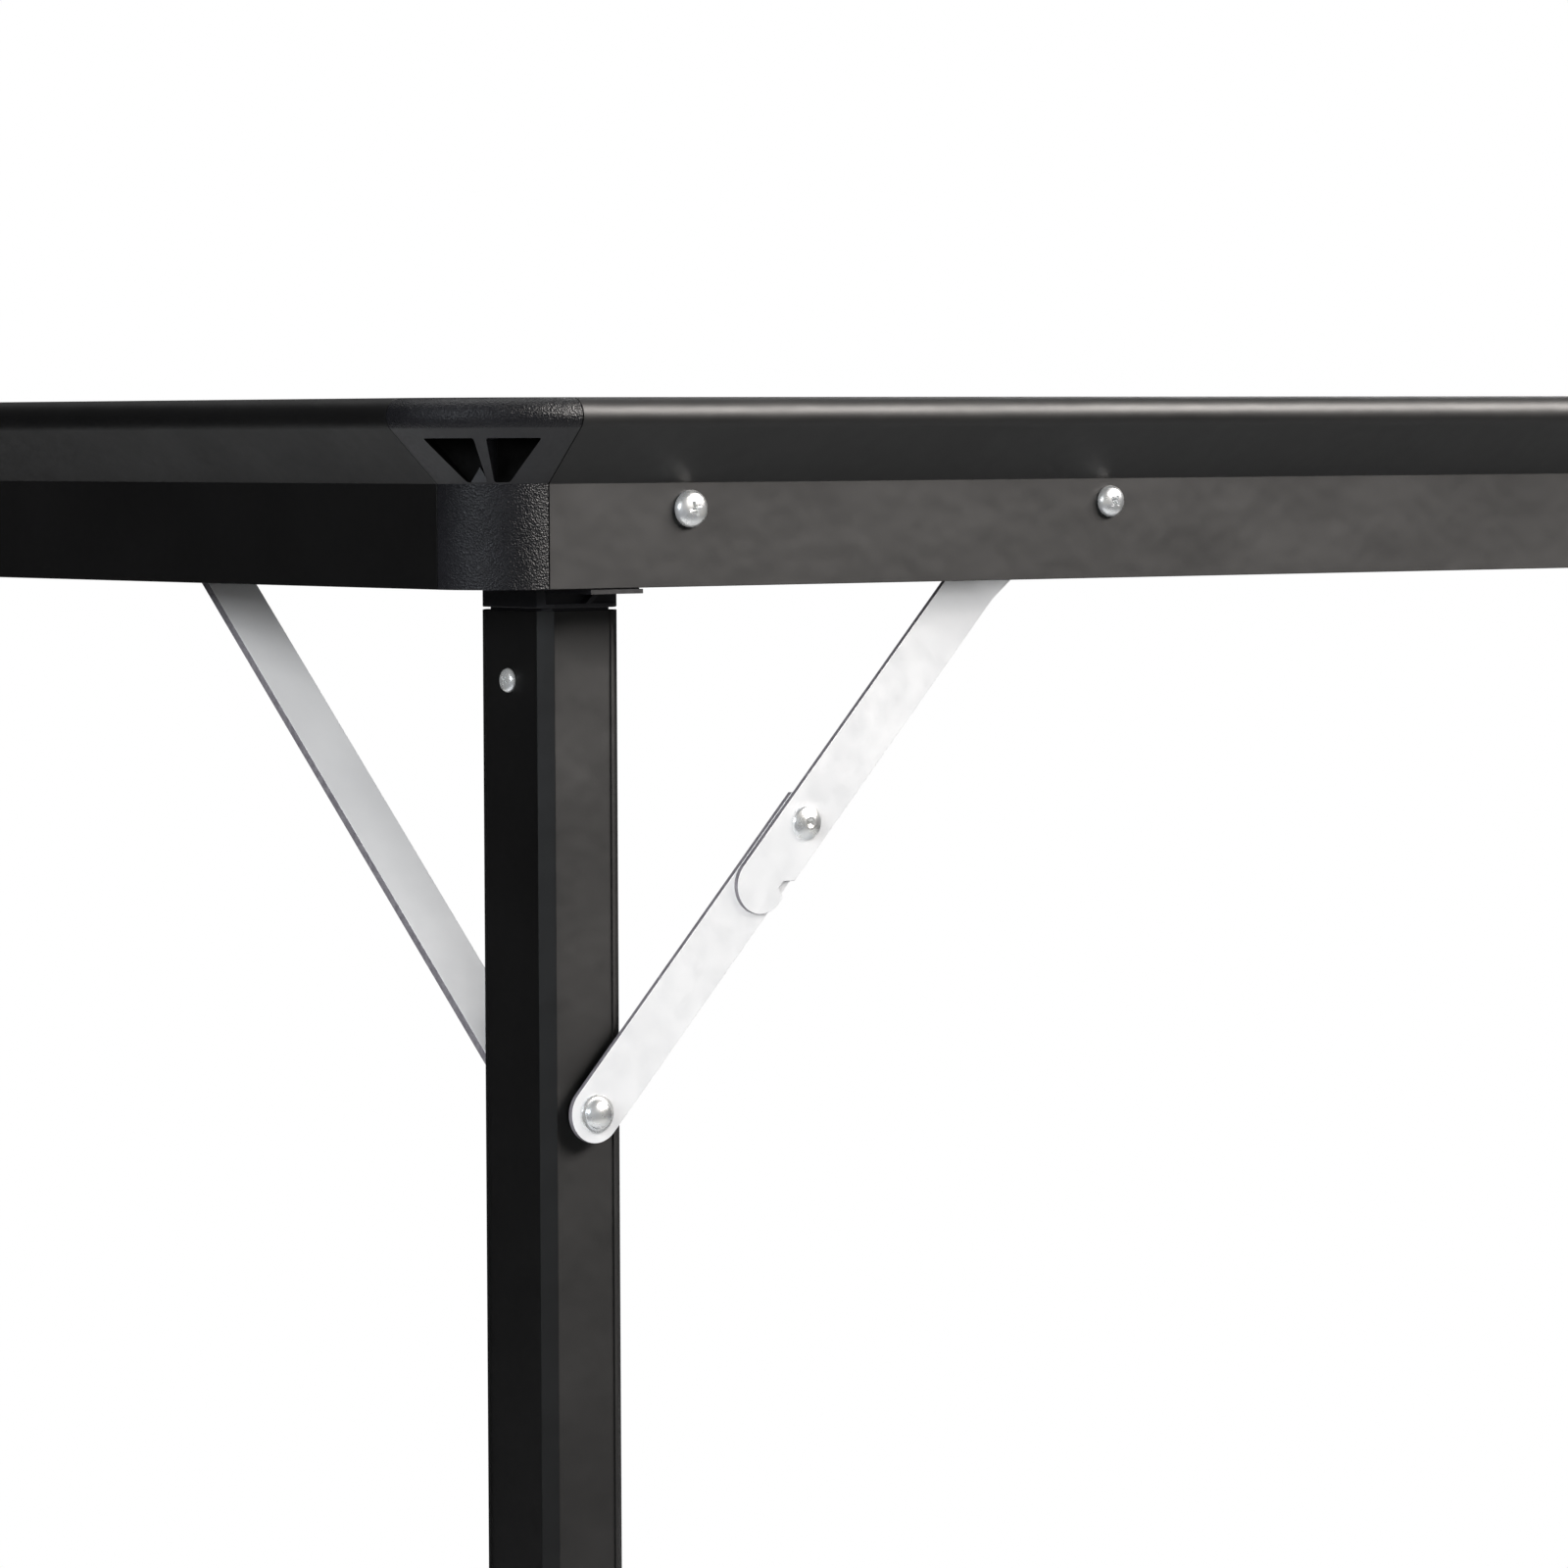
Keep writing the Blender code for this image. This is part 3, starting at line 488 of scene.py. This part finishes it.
def rim_outline():
    """The rim's section as (outward, upward) points, with the panel's groove on its inner side."""
    nose = (RIM_OVERHANG - NOSE_RADIUS, RIM_HEIGHT - NOSE_RADIUS)
    outline = arc(nose, NOSE_RADIUS, 90, 0, 14) + arc(nose, NOSE_RADIUS, 0, slope_angle(), 7)[1:]
    outline += [(0, SLOPE_FOOT), (0, 0), (-RIM_WALL, 0), (-RIM_WALL, SLOPE_FOOT - 0.0035)]
    ledge_bottom = LEDGE_TOP - RIM_WALL
    outline += [(-GROOVE_DEPTH, SLOPE_FOOT - 0.0005), (-GROOVE_DEPTH, ledge_bottom)]
    outline += [(-LEDGE_DEPTH, ledge_bottom), (-LEDGE_DEPTH, LEDGE_TOP)]
    outline += [(-GROOVE_DEPTH, LEDGE_TOP), (-GROOVE_DEPTH, RIM_HEIGHT - RIM_WALL)]
    outline += [(-LIP_COVER, RIM_HEIGHT - RIM_WALL), (-LIP_COVER, RIM_HEIGHT)]
    return outline


def rails():
    """The four rim rails, with their cut ends just short of the corner caps."""
    start = CORNER_RADIUS + GAP
    for name, length, origin, outward in (
            ("rail_front", 2 * (SKIRT.x - start), (0, -SKIRT.y, SKIRT.z), -Y),
            ("rail_back", 2 * (SKIRT.x - start), (0, SKIRT.y, SKIRT.z), Y),
            ("rail_left", 2 * (SKIRT.y - start), (-SKIRT.x, 0, SKIRT.z), -X),
            ("rail_right", 2 * (SKIRT.y - start), (SKIRT.x, 0, SKIRT.z), X)):
        shape = rounded(prism(rim_outline(), length), 0.00018)
        placed(shape, axes_matrix(Vector(origin), outward, Z))
        add_piece(f"{name}_extrusion", mesh_from(name, shape), [RAIL], "table", [name])


def window_cutter(side):
    """The pocket behind one window of a corner cap, with softened corners."""
    foot = WINDOW_RIB / 2 - (RIB_FOOT if side < 0 else 0)
    outline = [(WINDOW_RIB / 2, WINDOW_TOP), (WINDOW_TOP_REACH, WINDOW_TOP),
               (WINDOW_BOTTOM_REACH, WINDOW_BOTTOM), (foot, WINDOW_BOTTOM)]
    outline = [(side * along, rise) for along, rise in outline]
    outward = Vector((-1, -1, 0)).normalized()
    across = Z.cross(outward)
    start, end = WINDOW_BACK, 2 * CORNER_RADIUS
    shape = prism(outline, end - start)
    slanted = [edge for edge in shape.edges
               if abs(edge.verts[0].co.z - edge.verts[1].co.z) > (end - start) / 2]
    bmesh.ops.bevel(shape, geom=slanted, offset=0.0006, segments=3, profile=0.5, affect="EDGES")
    placed(shape, axes_matrix(outward * (start + end) / 2, across, Z))
    middle, top = COLLAR_PEAK
    base = 2 * WINDOW_BOTTOM - top
    peak = [(middle - 2 * COLLAR_SPREAD, base), (middle + 2 * COLLAR_SPREAD, base), (middle, top)]
    start, end = WINDOW_BACK - 0.001, CORNER_RADIUS
    collar = prism(peak, end - start)
    placed(collar, axes_matrix(outward * (start + end) / 2, across, Z))
    return carved(shape, [(collar, "DIFFERENCE")])


def corner_caps():
    """Corner caps: grained rim and post, smooth slope, and two windows beside a rib, painted dark as
    shade.
    """
    section = [(CORNER_RADIUS + out, up) for out, up in rim_outline()]
    shape = carved(swept_arc(section, 180, 270, 40),
                   [(window_cutter(1), "DIFFERENCE"), (window_cutter(-1), "DIFFERENCE")])
    rounded(shape, 0.00022, sharper_than=38)
    slope = math.sin(math.radians(slope_angle()))
    outward = Vector((-1, -1, 0)).normalized()
    play = 0.0003
    for face in shape.faces:
        middle = face.calc_center_median()
        radius = math.hypot(middle.x, middle.y)
        along = middle.dot(Z.cross(outward))
        in_pocket = (WINDOW_BACK - 0.001 < middle.dot(outward) and radius < CORNER_RADIUS + 0.010
                     and abs(along) < WINDOW_TOP_REACH
                     and WINDOW_BOTTOM - play < middle.z < WINDOW_TOP + play)
        on_rib = abs(along) < WINDOW_RIB / 2 + play
        on_peak = middle.z < COLLAR_PEAK[1] and abs(along - COLLAR_PEAK[0]) < COLLAR_SPREAD
        if abs(face.normal.z - slope) < 0.12 and middle.z > SLOPE_FOOT:
            face.material_index = 1
        elif in_pocket and radius < CORNER_RADIUS + 0.0004 and on_peak and not on_rib:
            face.material_index = 0
        elif in_pocket:
            # Pocket walls take the painted shade material; the rib keeps the smooth plastic
            face.material_index = 1 if on_rib else 2
    placed(shape, Matrix.Translation(corner(CORNER_RADIUS, CORNER_RADIUS, 0)))
    at_corners("corner_cap_moulding", shape, [GRAINED, SMOOTH, POCKET_SHADE], "table",
               "corner_cap_{corner}")


# Legs --------------------------------------------------------------------------------------

def chamfered(half_x, half_y, chamfer):
    """A rectangle with 45 degree corners, anticlockwise."""
    outline = []
    for mx, my in ((1, 1), (-1, 1), (-1, -1), (1, -1)):
        pair = [(mx * half_x, my * (half_y - chamfer)), (mx * (half_x - chamfer), my * half_y)]
        outline += pair if mx * my > 0 else pair[::-1]
    return outline


def leg_outline(half_x, half_y):
    """The leg's section: chamfered corners, and each face recessed between two thin lips."""
    outline = []
    for turn_index, (cosine, sine) in enumerate([(1, 0), (0, 1), (-1, 0), (0, -1)]):
        near, far = (half_x, half_y) if turn_index % 2 == 0 else (half_y, half_x)
        edge = far - LEG_CHAMFER
        inner = edge - LEG_LIP
        face = [(near, -edge), (near, -inner), (near - LEG_RECESS, -inner),
                (near - LEG_RECESS, inner), (near, inner), (near, edge)]
        outline += [(a * cosine - b * sine, a * sine + b * cosine) for a, b in face]
    return outline


LEG_LOW, LEG_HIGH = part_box("leg_tube_front_left")
LEG_HALF = (LEG_HIGH - LEG_LOW) / 2
LEG_AXIS = (LEG_HIGH + LEG_LOW) / 2


def legs():
    """Leg tubes with crisp, slightly broken edges."""
    shape = rounded(prism(leg_outline(LEG_HALF.x, LEG_HALF.y), 2 * LEG_HALF.z), 0.00014)
    at_corners("leg_extrusion", placed(shape, Matrix.Translation(LEG_AXIS)), [RAIL],
               "leg_frame_{side}", "leg_tube_{corner}")


def leg_feet():
    """Moulded cups over the legs' lower ends, with soft edges."""
    low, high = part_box("leg_foot_front_left")
    half = (high - low) / 2
    outer = rounded(prism(chamfered(half.x, half.y, LEG_CHAMFER), 2 * half.z), 0.0010, 30, 3)
    bore = prism(chamfered(LEG_HALF.x + GAP, LEG_HALF.y + GAP, LEG_CHAMFER), 2 * half.z)
    placed(bore, Matrix.Translation((0, 0, LEG_LOW.z)))
    shape = carved(outer, [(bore, "DIFFERENCE")])
    at_corners("leg_foot_cup", placed(shape, Matrix.Translation((low + high) / 2)), [RUBBER],
               "leg_frame_{side}", "leg_foot_{corner}")


def leg_heads():
    """Hinge blocks: a foot flange, a pocketed front with a diagonal rib, a barrel and a neck."""
    neck_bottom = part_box("leg_head_front_left")[0].z
    axis_x, axis_y = LEG_AXIS.x, LEG_AXIS.y
    top, bottom = 0.003, -HEAD_DROP
    block = prism(chamfered(LEG_HALF.x, LEG_HALF.y, LEG_CHAMFER), top - bottom)
    placed(block, Matrix.Translation((axis_x, axis_y, SKIRT.z + (top + bottom) / 2)))
    rounded(block, 0.00025)
    front = axis_y - LEG_HALF.y
    inset, flange, rib = 0.0028, 0.0011, 0.0013
    rib_low, rib_rise, rib_run = 0.0005, 0.0095, 0.0100
    left, right = -LEG_HALF.x + 0.0018, LEG_HALF.x + 0.001
    floor, ceiling = bottom + flange, top + 0.001
    slant = rib_run / rib_rise * (ceiling - floor)
    pockets = []
    for outline in (
            [(left, floor), (rib_low, floor), (rib_low + slant, ceiling), (left, ceiling)],
            [(rib_low + 1.4 * rib, floor), (right, floor), (right, ceiling),
             (rib_low + 1.4 * rib + slant, ceiling)]):
        pocket = prism(outline, 2 * inset)
        placed(pocket, axes_matrix(Vector((axis_x, front, SKIRT.z)), X, Z))
        pockets.append((pocket, "DIFFERENCE"))
    radius = LEG_HALF.x - GAP
    barrel_foot = top - 0.0005
    outline = arc((0, PIVOT_RISE), radius, 0, 180, 40) + [(-radius, barrel_foot), (radius, barrel_foot)]
    barrel = prism(outline, 2 * LEG_HALF.y - 0.0006)
    rounded(barrel, 0.0003)
    placed(barrel, axes_matrix(Vector((axis_x, axis_y, SKIRT.z)), X, Z))
    neck_inset = LEG_RECESS + LEG_WALL + GAP
    neck_top = SKIRT.z + bottom + 0.0005
    neck = prism(chamfered(LEG_HALF.x - neck_inset, LEG_HALF.y - neck_inset, 0.002),
                 neck_top - neck_bottom)
    placed(neck, Matrix.Translation((axis_x, axis_y, (neck_top + neck_bottom) / 2)))
    shape = carved(block, pockets + [(barrel, "UNION"), (neck, "UNION")])
    at_corners("leg_head_block", shape, [SMOOTH], "leg_frame_{side}",
               "leg_head_{corner}")


def cross_tubes():
    """Cross tubes with softened ends."""
    low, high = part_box("cross_tube_left")
    radius, length = (high.x - low.x) / 2, high.y - low.y
    for side, mirror in (("left", (1, 1)), ("right", (-1, 1))):
        shape = rounded(prism(arc((0, 0), radius, 0, 360, 48)[:-1], length), 0.0003)
        placed(shape, axes_matrix((low + high) / 2, Z, X))
        mesh = mirrored(mesh_from("cross_tube", shape), f"cross_bar_{side}", mirror)
        add_piece(f"cross_bar_{side}", mesh, [RAIL], f"leg_frame_{side}",
                  [f"cross_tube_{side}"])


def strip_outline(centre_line, thickness, bend, steps=6):
    """A bent strip's outline: its centre line, with each bend turned on a radius, given thickness."""
    points = [Vector(point) for point in centre_line]
    path = [points[0]]
    for before, point, after in zip(points, points[1:], points[2:]):
        into, onward = (point - before).normalized(), (after - point).normalized()
        turn = into.angle_signed(onward)
        reach = bend * math.tan(abs(turn) / 2)
        first, last = point - into * reach, point + onward * reach
        for step in range(steps + 1):
            share = step / steps
            path.append(first * (1 - share) ** 2 + point * 2 * share * (1 - share) + last * share ** 2)
    path.append(points[-1])
    left, right = [], []
    for index, point in enumerate(path):
        along = (path[min(index + 1, len(path) - 1)] - path[max(index - 1, 0)]).normalized()
        normal = Vector((-along.y, along.x)) * thickness / 2
        left.append(tuple(point + normal))
        right.append(tuple(point - normal))
    return left + right[::-1]


def leg_braces():
    """Flat diagonal braces with bent feet, each foot held by a rivet."""
    low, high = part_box("leg_brace_front_left")
    face = low.y + SKIRT.y + BRACE_THICK / 2
    under_tube = high.z - SKIRT.z - BRACE_THICK / 2
    end = high.y + SKIRT.y
    foot = low.z - SKIRT.z
    line = [(face, foot), (face, foot + 0.020), (end - 0.020, under_tube), (end, under_tube)]
    shape = rounded(prism(strip_outline(line, BRACE_THICK, 0.004), BRACE_WIDTH), 0.0003)
    give_edge_shade(shape, ends=True)
    placed(shape, axes_matrix(Vector((middle_of("leg_brace_front_left").x, -SKIRT.y, SKIRT.z)), Y, Z))
    at_corners("brace_bar", shape, [SILVER, CUT_EDGE_SHADE], "leg_frame_{side}",
               "leg_brace_{corner}")
    dome = [(0, 0.0018), (0.0014, 0.0016), (0.0026, 0.0010), (0.0032, 0.0001), (0.0032, -0.0001),
            (0, -0.0001)]
    x = middle_of("leg_brace_front_left").x
    from_end = 0.009
    low_spot = Vector((x, low.y + BRACE_THICK, low.z + from_end))
    high_spot = Vector((x, high.y - from_end, high.z - BRACE_THICK))
    low_rivet = placed(lathe(dome, 32), axes_matrix(low_spot, Z, X))
    high_rivet = placed(lathe(dome, 32), axes_matrix(high_spot, X, -Y))
    at_corners("brace_rivets", merged(low_rivet, high_rivet), [ZINC], "leg_frame_{side}")


# Stays -------------------------------------------------------------------------------------

TOP = JOINTS["stay_swing_front_left"]
ELBOW = JOINTS["stay_elbow_front_left"]
FOOT = middle_of("leg_rivet_front_left")


def stay_axes(start, end):
    """Unit directions along a stay bar and across it towards the leg, and its length."""
    along = Vector((end.x - start.x, 0, end.z - start.z))
    return along.normalized(), Y.cross(along).normalized(), along.length


def bent_out(distance):
    """How far the upper bar stands outward at a distance from the elbow, with rounded bends."""
    ease = 0.002
    slope = BEND_STEP / (BEND_END - BEND_START)

    def ramp_from(start):
        reach = distance - start
        if reach <= -ease:
            return 0.0
        if reach >= ease:
            return slope * reach
        return slope * (reach + ease) ** 2 / (4 * ease)

    return ramp_from(BEND_START) - ramp_from(BEND_END)


def stay_upper_bars():
    """Upper bars: a tail past the elbow with a notch, and a step out towards the skirt."""
    along, across, length = stay_axes(ELBOW, TOP)
    half = STAY_WIDTH / 2
    tail = UPPER_TAIL - half
    notch_start, notch_end, notch_depth = NOTCH
    outline = arc((length, 0), half, -90, 90, 24)
    outline += [(-notch_start, half), (-notch_start - 0.0025, half - notch_depth),
                (-notch_end + 0.0012, half - notch_depth), (-notch_end, half)]
    outline += arc((-tail, 0), half, 90, 270, 24)
    shape = prism(outline, STAY_THICK)
    for centre in (BEND_START, BEND_END):
        for step in range(-4, 5):
            bmesh.ops.bisect_plane(shape, geom=shape.verts[:] + shape.edges[:] + shape.faces[:],
                                   plane_co=(centre + step * 0.0005, 0, 0), plane_no=(1, 0, 0))
    bmesh.ops.remove_doubles(shape, verts=shape.verts, dist=0.000005)
    rounded(shape, 0.00018, sharper_than=50)
    for vertex in shape.verts:
        vertex.co.z -= bent_out(vertex.co.x)
    inner_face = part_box("stay_upper_bar_front_left")[1].y
    origin = Vector((ELBOW.x, inner_face - STAY_THICK / 2, ELBOW.z))
    placed(give_edge_shade(shape), axes_matrix(origin, along, across))
    at_corners("upper_stay", shape, [SILVER, CUT_EDGE_SHADE], "stay_upper_{corner}",
               "stay_upper_bar_{corner}")


def stay_lower_bars():
    """Lower bars: round at the leg, with one square corner left at the elbow."""
    along, across, length = stay_axes(ELBOW, FOOT)
    half = STAY_WIDTH / 2
    outline = arc((length, 0), half, -90, 90, 24) + [(-LOWER_HEAD, half)]
    outline += arc((0, 0), half, 150, 270, 16)
    shape = rounded(prism(outline, STAY_THICK), 0.00018, sharper_than=50)
    depth = middle_of("stay_lower_bar_front_left").y
    placed(give_edge_shade(shape), axes_matrix(Vector((ELBOW.x, depth, ELBOW.z)), along, across))
    at_corners("lower_stay", shape, [SILVER, CUT_EDGE_SHADE], "stay_lower_{corner}",
               "stay_lower_bar_{corner}")


def stay_rivets():
    """Elbow rivets with a low dimpled cone, and leg rivets with a dome on a flange."""
    facing_out = axes_matrix(Vector((0, 0, 0)), X, Z)
    low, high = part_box("elbow_rivet_front_left")
    front = high.y - low.y
    cone = [(0, front - 0.0005), (0.0006, front - 0.00045), (0.0011, front - 0.0001), (0.0014, front),
            (0.0020, front - 0.0001), (0.0032, front - 0.0006), (0.0042, front - 0.0011),
            (0.0046, front - 0.0015), (0.0047, front - 0.0023), (0.0025, front - 0.0023),
            (0.0025, 0.0012), (0.0042, 0.0012), (0.0042, 0.0002), (0.0040, 0), (0, 0)]
    shape = placed(lathe(cone), Matrix.Translation((ELBOW.x, high.y, ELBOW.z)) @ facing_out)
    at_corners("elbow_rivet_head", shape, [ZINC], "stay_lower_{corner}",
               "elbow_rivet_{corner}")
    low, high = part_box("leg_rivet_front_left")
    front = high.y - low.y
    dome = [(0.0042 * math.sin(math.radians(a)), front - 0.0024 + 0.0024 * math.cos(math.radians(a)))
            for a in range(0, 91, 10)]
    dome[0] = (0, front)
    dome += [(0.0043, front - 0.00245), (0.0050, front - 0.0025), (0.0052, front - 0.0027),
             (0.0052, front - 0.0030), (0.0025, front - 0.0030), (0.0025, 0.0024), (0.0060, 0.0024),
             (0.0060, 0.0001), (0, 0)]
    shape = placed(lathe(dome), Matrix.Translation((FOOT.x, high.y, FOOT.z)) @ facing_out)
    at_corners("leg_rivet_head", shape, [ZINC], "stay_lower_{corner}",
               "leg_rivet_{corner}")


# Screws ------------------------------------------------------------------------------------

def screw(radius, height, shank):
    """A cross recess pan head screw, its head's underside at Z = 0 and its shank below."""
    profile = [(0, height), (0.45 * radius, 0.97 * height), (0.75 * radius, 0.84 * height),
               (0.93 * radius, 0.60 * height), (radius, 0.28 * height), (0.985 * radius, 0.05 * height),
               (0.96 * radius, 0), (0.0021, 0), (0.0021, -shank), (0, -shank - 0.001)]
    tools = []
    for angle in (0, 90):
        blade = prism(chamfered(0.58 * radius, 0.115 * radius, 0.04 * radius), 1.2 * height)
        for vertex in blade.verts:
            if vertex.co.z < 0:
                vertex.co.x *= 0.45
                vertex.co.y *= 0.7
        placed(blade, Matrix.Translation((0, 0, height)) @ Matrix.Rotation(math.radians(angle), 4, "Z"))
        tools.append((blade, "DIFFERENCE"))
    core = lathe([(0, 1.3 * height), (0.22 * radius, 1.3 * height), (0.12 * radius, 0.4 * height),
                  (0, 0.25 * height)], 24)
    tools.append((core, "DIFFERENCE"))
    return carved(lathe(profile), tools)


def screws():
    """Hinge screws and stay screws through the long skirts, and a screw in each leg's face."""
    out = axes_matrix(Vector((0, 0, 0)), X, Z)
    hinge = middle_of("hinge_screw_front_left")
    spot = Vector((hinge.x, -SKIRT.y, hinge.z))
    turned = Matrix.Rotation(math.radians(20), 4, "Z")
    shape = placed(screw(0.0050, 0.0030, 0.006), Matrix.Translation(spot) @ out @ turned)
    at_corners("hinge_screw_head", shape, [ZINC], "table", "hinge_screw_{corner}")
    turned = Matrix.Rotation(math.radians(-38), 4, "Z")
    spot = corner(STAY_SCREW[0], 0, STAY_SCREW[1])
    shape = placed(screw(0.00435, 0.0028, 0.001), Matrix.Translation(spot) @ out @ turned)
    at_corners("stay_screw_head", shape, [ZINC], "table")
    side = axes_matrix(Vector((0, 0, 0)), -Y, Z)
    spot = Vector((LEG_LOW.x + LEG_RECESS, LEG_AXIS.y + 0.001, SKIRT.z - LEG_SCREW_DROP))
    shape = placed(screw(0.00325, 0.0017, 0.001), Matrix.Translation(spot) @ side @ turned)
    at_corners("leg_screw_head", shape, [ZINC], "leg_frame_{side}")


def kept_nodes():
    """Materials for the CAD nodes that are shown as they are."""
    finishes = {"tabletop_panel": LAMINATE, "hinge_bracket": SMOOTH, "hinge_pin": ZINC,
                "stay_bracket": ZINC}
    for name, node in frame["nodes"].items():
        for start, material in finishes.items():
            if name.startswith(start):
                node.data.materials.clear()
                node.data.materials.append(material)
                node.data.shade_smooth()
                node.data.set_sharp_from_angle(angle=math.radians(35))


# Stage -------------------------------------------------------------------------------------

def floor():
    """A pale floor under the table that fades into the white backdrop."""
    shape = bmesh.new()
    bmesh.ops.create_circle(shape, cap_ends=True, segments=96, radius=FLOOR_RADIUS)
    disc = bpy.data.objects.new("floor", mesh_from("floor", shape))
    bpy.context.scene.collection.objects.link(disc)
    material, shader, place = new_material("pale_floor", 0.9, 0.0)
    tree = material.node_tree
    colour = ramp(tree, noise(tree, place, 1.5, 2), [(0.3, (0.84, 0.84, 0.84)), (0.7, (0.86, 0.86, 0.86))])
    tree.links.new(colour, shader.inputs["Base Color"])
    distance = tree.nodes.new("ShaderNodeVectorMath")
    distance.operation = "LENGTH"
    tree.links.new(place, distance.inputs[0])
    fade = tree.nodes.new("ShaderNodeMapRange")
    fade.interpolation_type = "SMOOTHSTEP"
    fade.inputs["From Min"].default_value, fade.inputs["From Max"].default_value = FLOOR_FADE
    fade.inputs["To Min"].default_value = 1
    fade.inputs["To Max"].default_value = 0
    tree.links.new(distance.outputs["Value"], fade.inputs["Value"])
    tree.links.new(fade.outputs["Result"], shader.inputs["Alpha"])
    disc.data.materials.append(material)


def softbox(name, direction, distance, size, radiance, colour=(1, 1, 1)):
    """An area light in a direction from the near corner of the top, facing that corner."""
    light = bpy.data.lights.new(name, "AREA")
    light.shape = "RECTANGLE"
    light.size, light.size_y = size
    light.energy = radiance * math.pi * size[0] * size[1]
    light.color = colour
    box = bpy.data.objects.new(name, light)
    bpy.context.scene.collection.objects.link(box)
    direction = Vector(direction).normalized()
    box.location = corner(0.05, 0.05, -0.02) + direction * distance
    box.rotation_euler = direction.to_track_quat("Z", "Y").to_euler()
    box.visible_camera = False
    return box


def surround(tree):
    """Dim light from all round, brightest in front and darkest behind."""
    direction = tree.nodes.new("ShaderNodeTexCoord").outputs["Generated"]
    facing = tree.nodes.new("ShaderNodeVectorMath")
    facing.operation = "DOT_PRODUCT"
    facing.inputs[1].default_value = Vector((0.12, -0.95, 0.22)).normalized()
    tree.links.new(direction, facing.inputs[0])
    spread = tree.nodes.new("ShaderNodeMapRange")
    spread.inputs["From Min"].default_value = -1
    tree.links.new(facing.outputs["Value"], spread.inputs["Value"])
    light = ramp(tree, spread.outputs["Result"],
                 [(0.38, (0.02, 0.02, 0.022)), (0.62, (0.07, 0.07, 0.075)), (0.88, (0.10, 0.10, 0.10))])
    background = tree.nodes.new("ShaderNodeBackground")
    tree.links.new(light, background.inputs["Color"])
    background.inputs["Strength"].default_value = 1.0
    return background


def studio():
    """Soft boxes on every side of the near corner and above it, and a white backdrop."""
    world = bpy.data.worlds.new("studio")
    bpy.context.scene.world = world
    world.use_nodes = True
    tree = world.node_tree
    backdrop = tree.nodes["Background"]
    backdrop.inputs["Color"].default_value = (1, 1, 1, 1)
    path = tree.nodes.new("ShaderNodeLightPath")
    mix = tree.nodes.new("ShaderNodeMixShader")
    tree.links.new(path.outputs["Is Camera Ray"], mix.inputs["Fac"])
    tree.links.new(surround(tree).outputs["Background"], mix.inputs[1])
    tree.links.new(backdrop.outputs["Background"], mix.inputs[2])
    tree.links.new(mix.outputs["Shader"], tree.nodes["World Output"].inputs["Surface"])
    key = softbox("key_reflection", (0.67, -0.67, 0.52), 1.6, (1.3, 0.55), 29.0, (1.0, 0.95, 0.91))
    key.visible_diffuse = False
    softbox("left", (-0.95, -0.30, 0.24), 2.0, (1.1, 0.5), 8.0, (0.88, 0.94, 1.0))
    front = softbox("front_fill", (0.35, -0.80, 0.62), 2.4, (1.4, 0.9), 1.5)
    front.visible_glossy = False
    low_front = softbox("low_fill", (-0.50, -0.85, 0.14), 2.2, (1.8, 0.7), 8.4)
    low_front.visible_glossy = False
    side = softbox("side_fill", (-0.90, -0.25, 0.30), 2.2, (1.4, 0.9), 7.5)
    side.visible_glossy = False
    softbox("overhead", (0.1, 0.3, 1), 2.4, (2.4, 2.4), 1.7)
    softbox("rear", (0.85, 0.50, 0.35), 3.0, (1.6, 1.0), 5.0)
    bpy.context.scene.view_settings.view_transform = "Standard"


def camera():
    """Level with the top and looking slightly down, from outside the front left corner."""
    lens = bpy.data.cameras.new("camera")
    lens.sensor_width = 36
    lens.lens = 159.7
    lens.clip_start = 0.05
    lens.clip_end = 50
    view = bpy.data.objects.new("camera", lens)
    bpy.context.scene.collection.objects.link(view)
    view.location = corner(-1.0171, -1.4855, 0.0421)
    forward = Vector((0.6, 0.8, math.tan(math.radians(-2.94)))).normalized()
    roll = Matrix.Rotation(math.radians(-0.25), 4, "Z")
    view.matrix_world = (Matrix.Translation(view.location)
                         @ forward.to_track_quat("-Z", "Y").to_matrix().to_4x4() @ roll)
    bpy.context.scene.camera = view


camera()
studio()
floor()
rails()
corner_caps()
legs()
leg_feet()
leg_heads()
cross_tubes()
leg_braces()
stay_upper_bars()
stay_lower_bars()
stay_rivets()
screws()
kept_nodes()

bpy.context.view_layer.update()
bpy.context.view_layer.update()
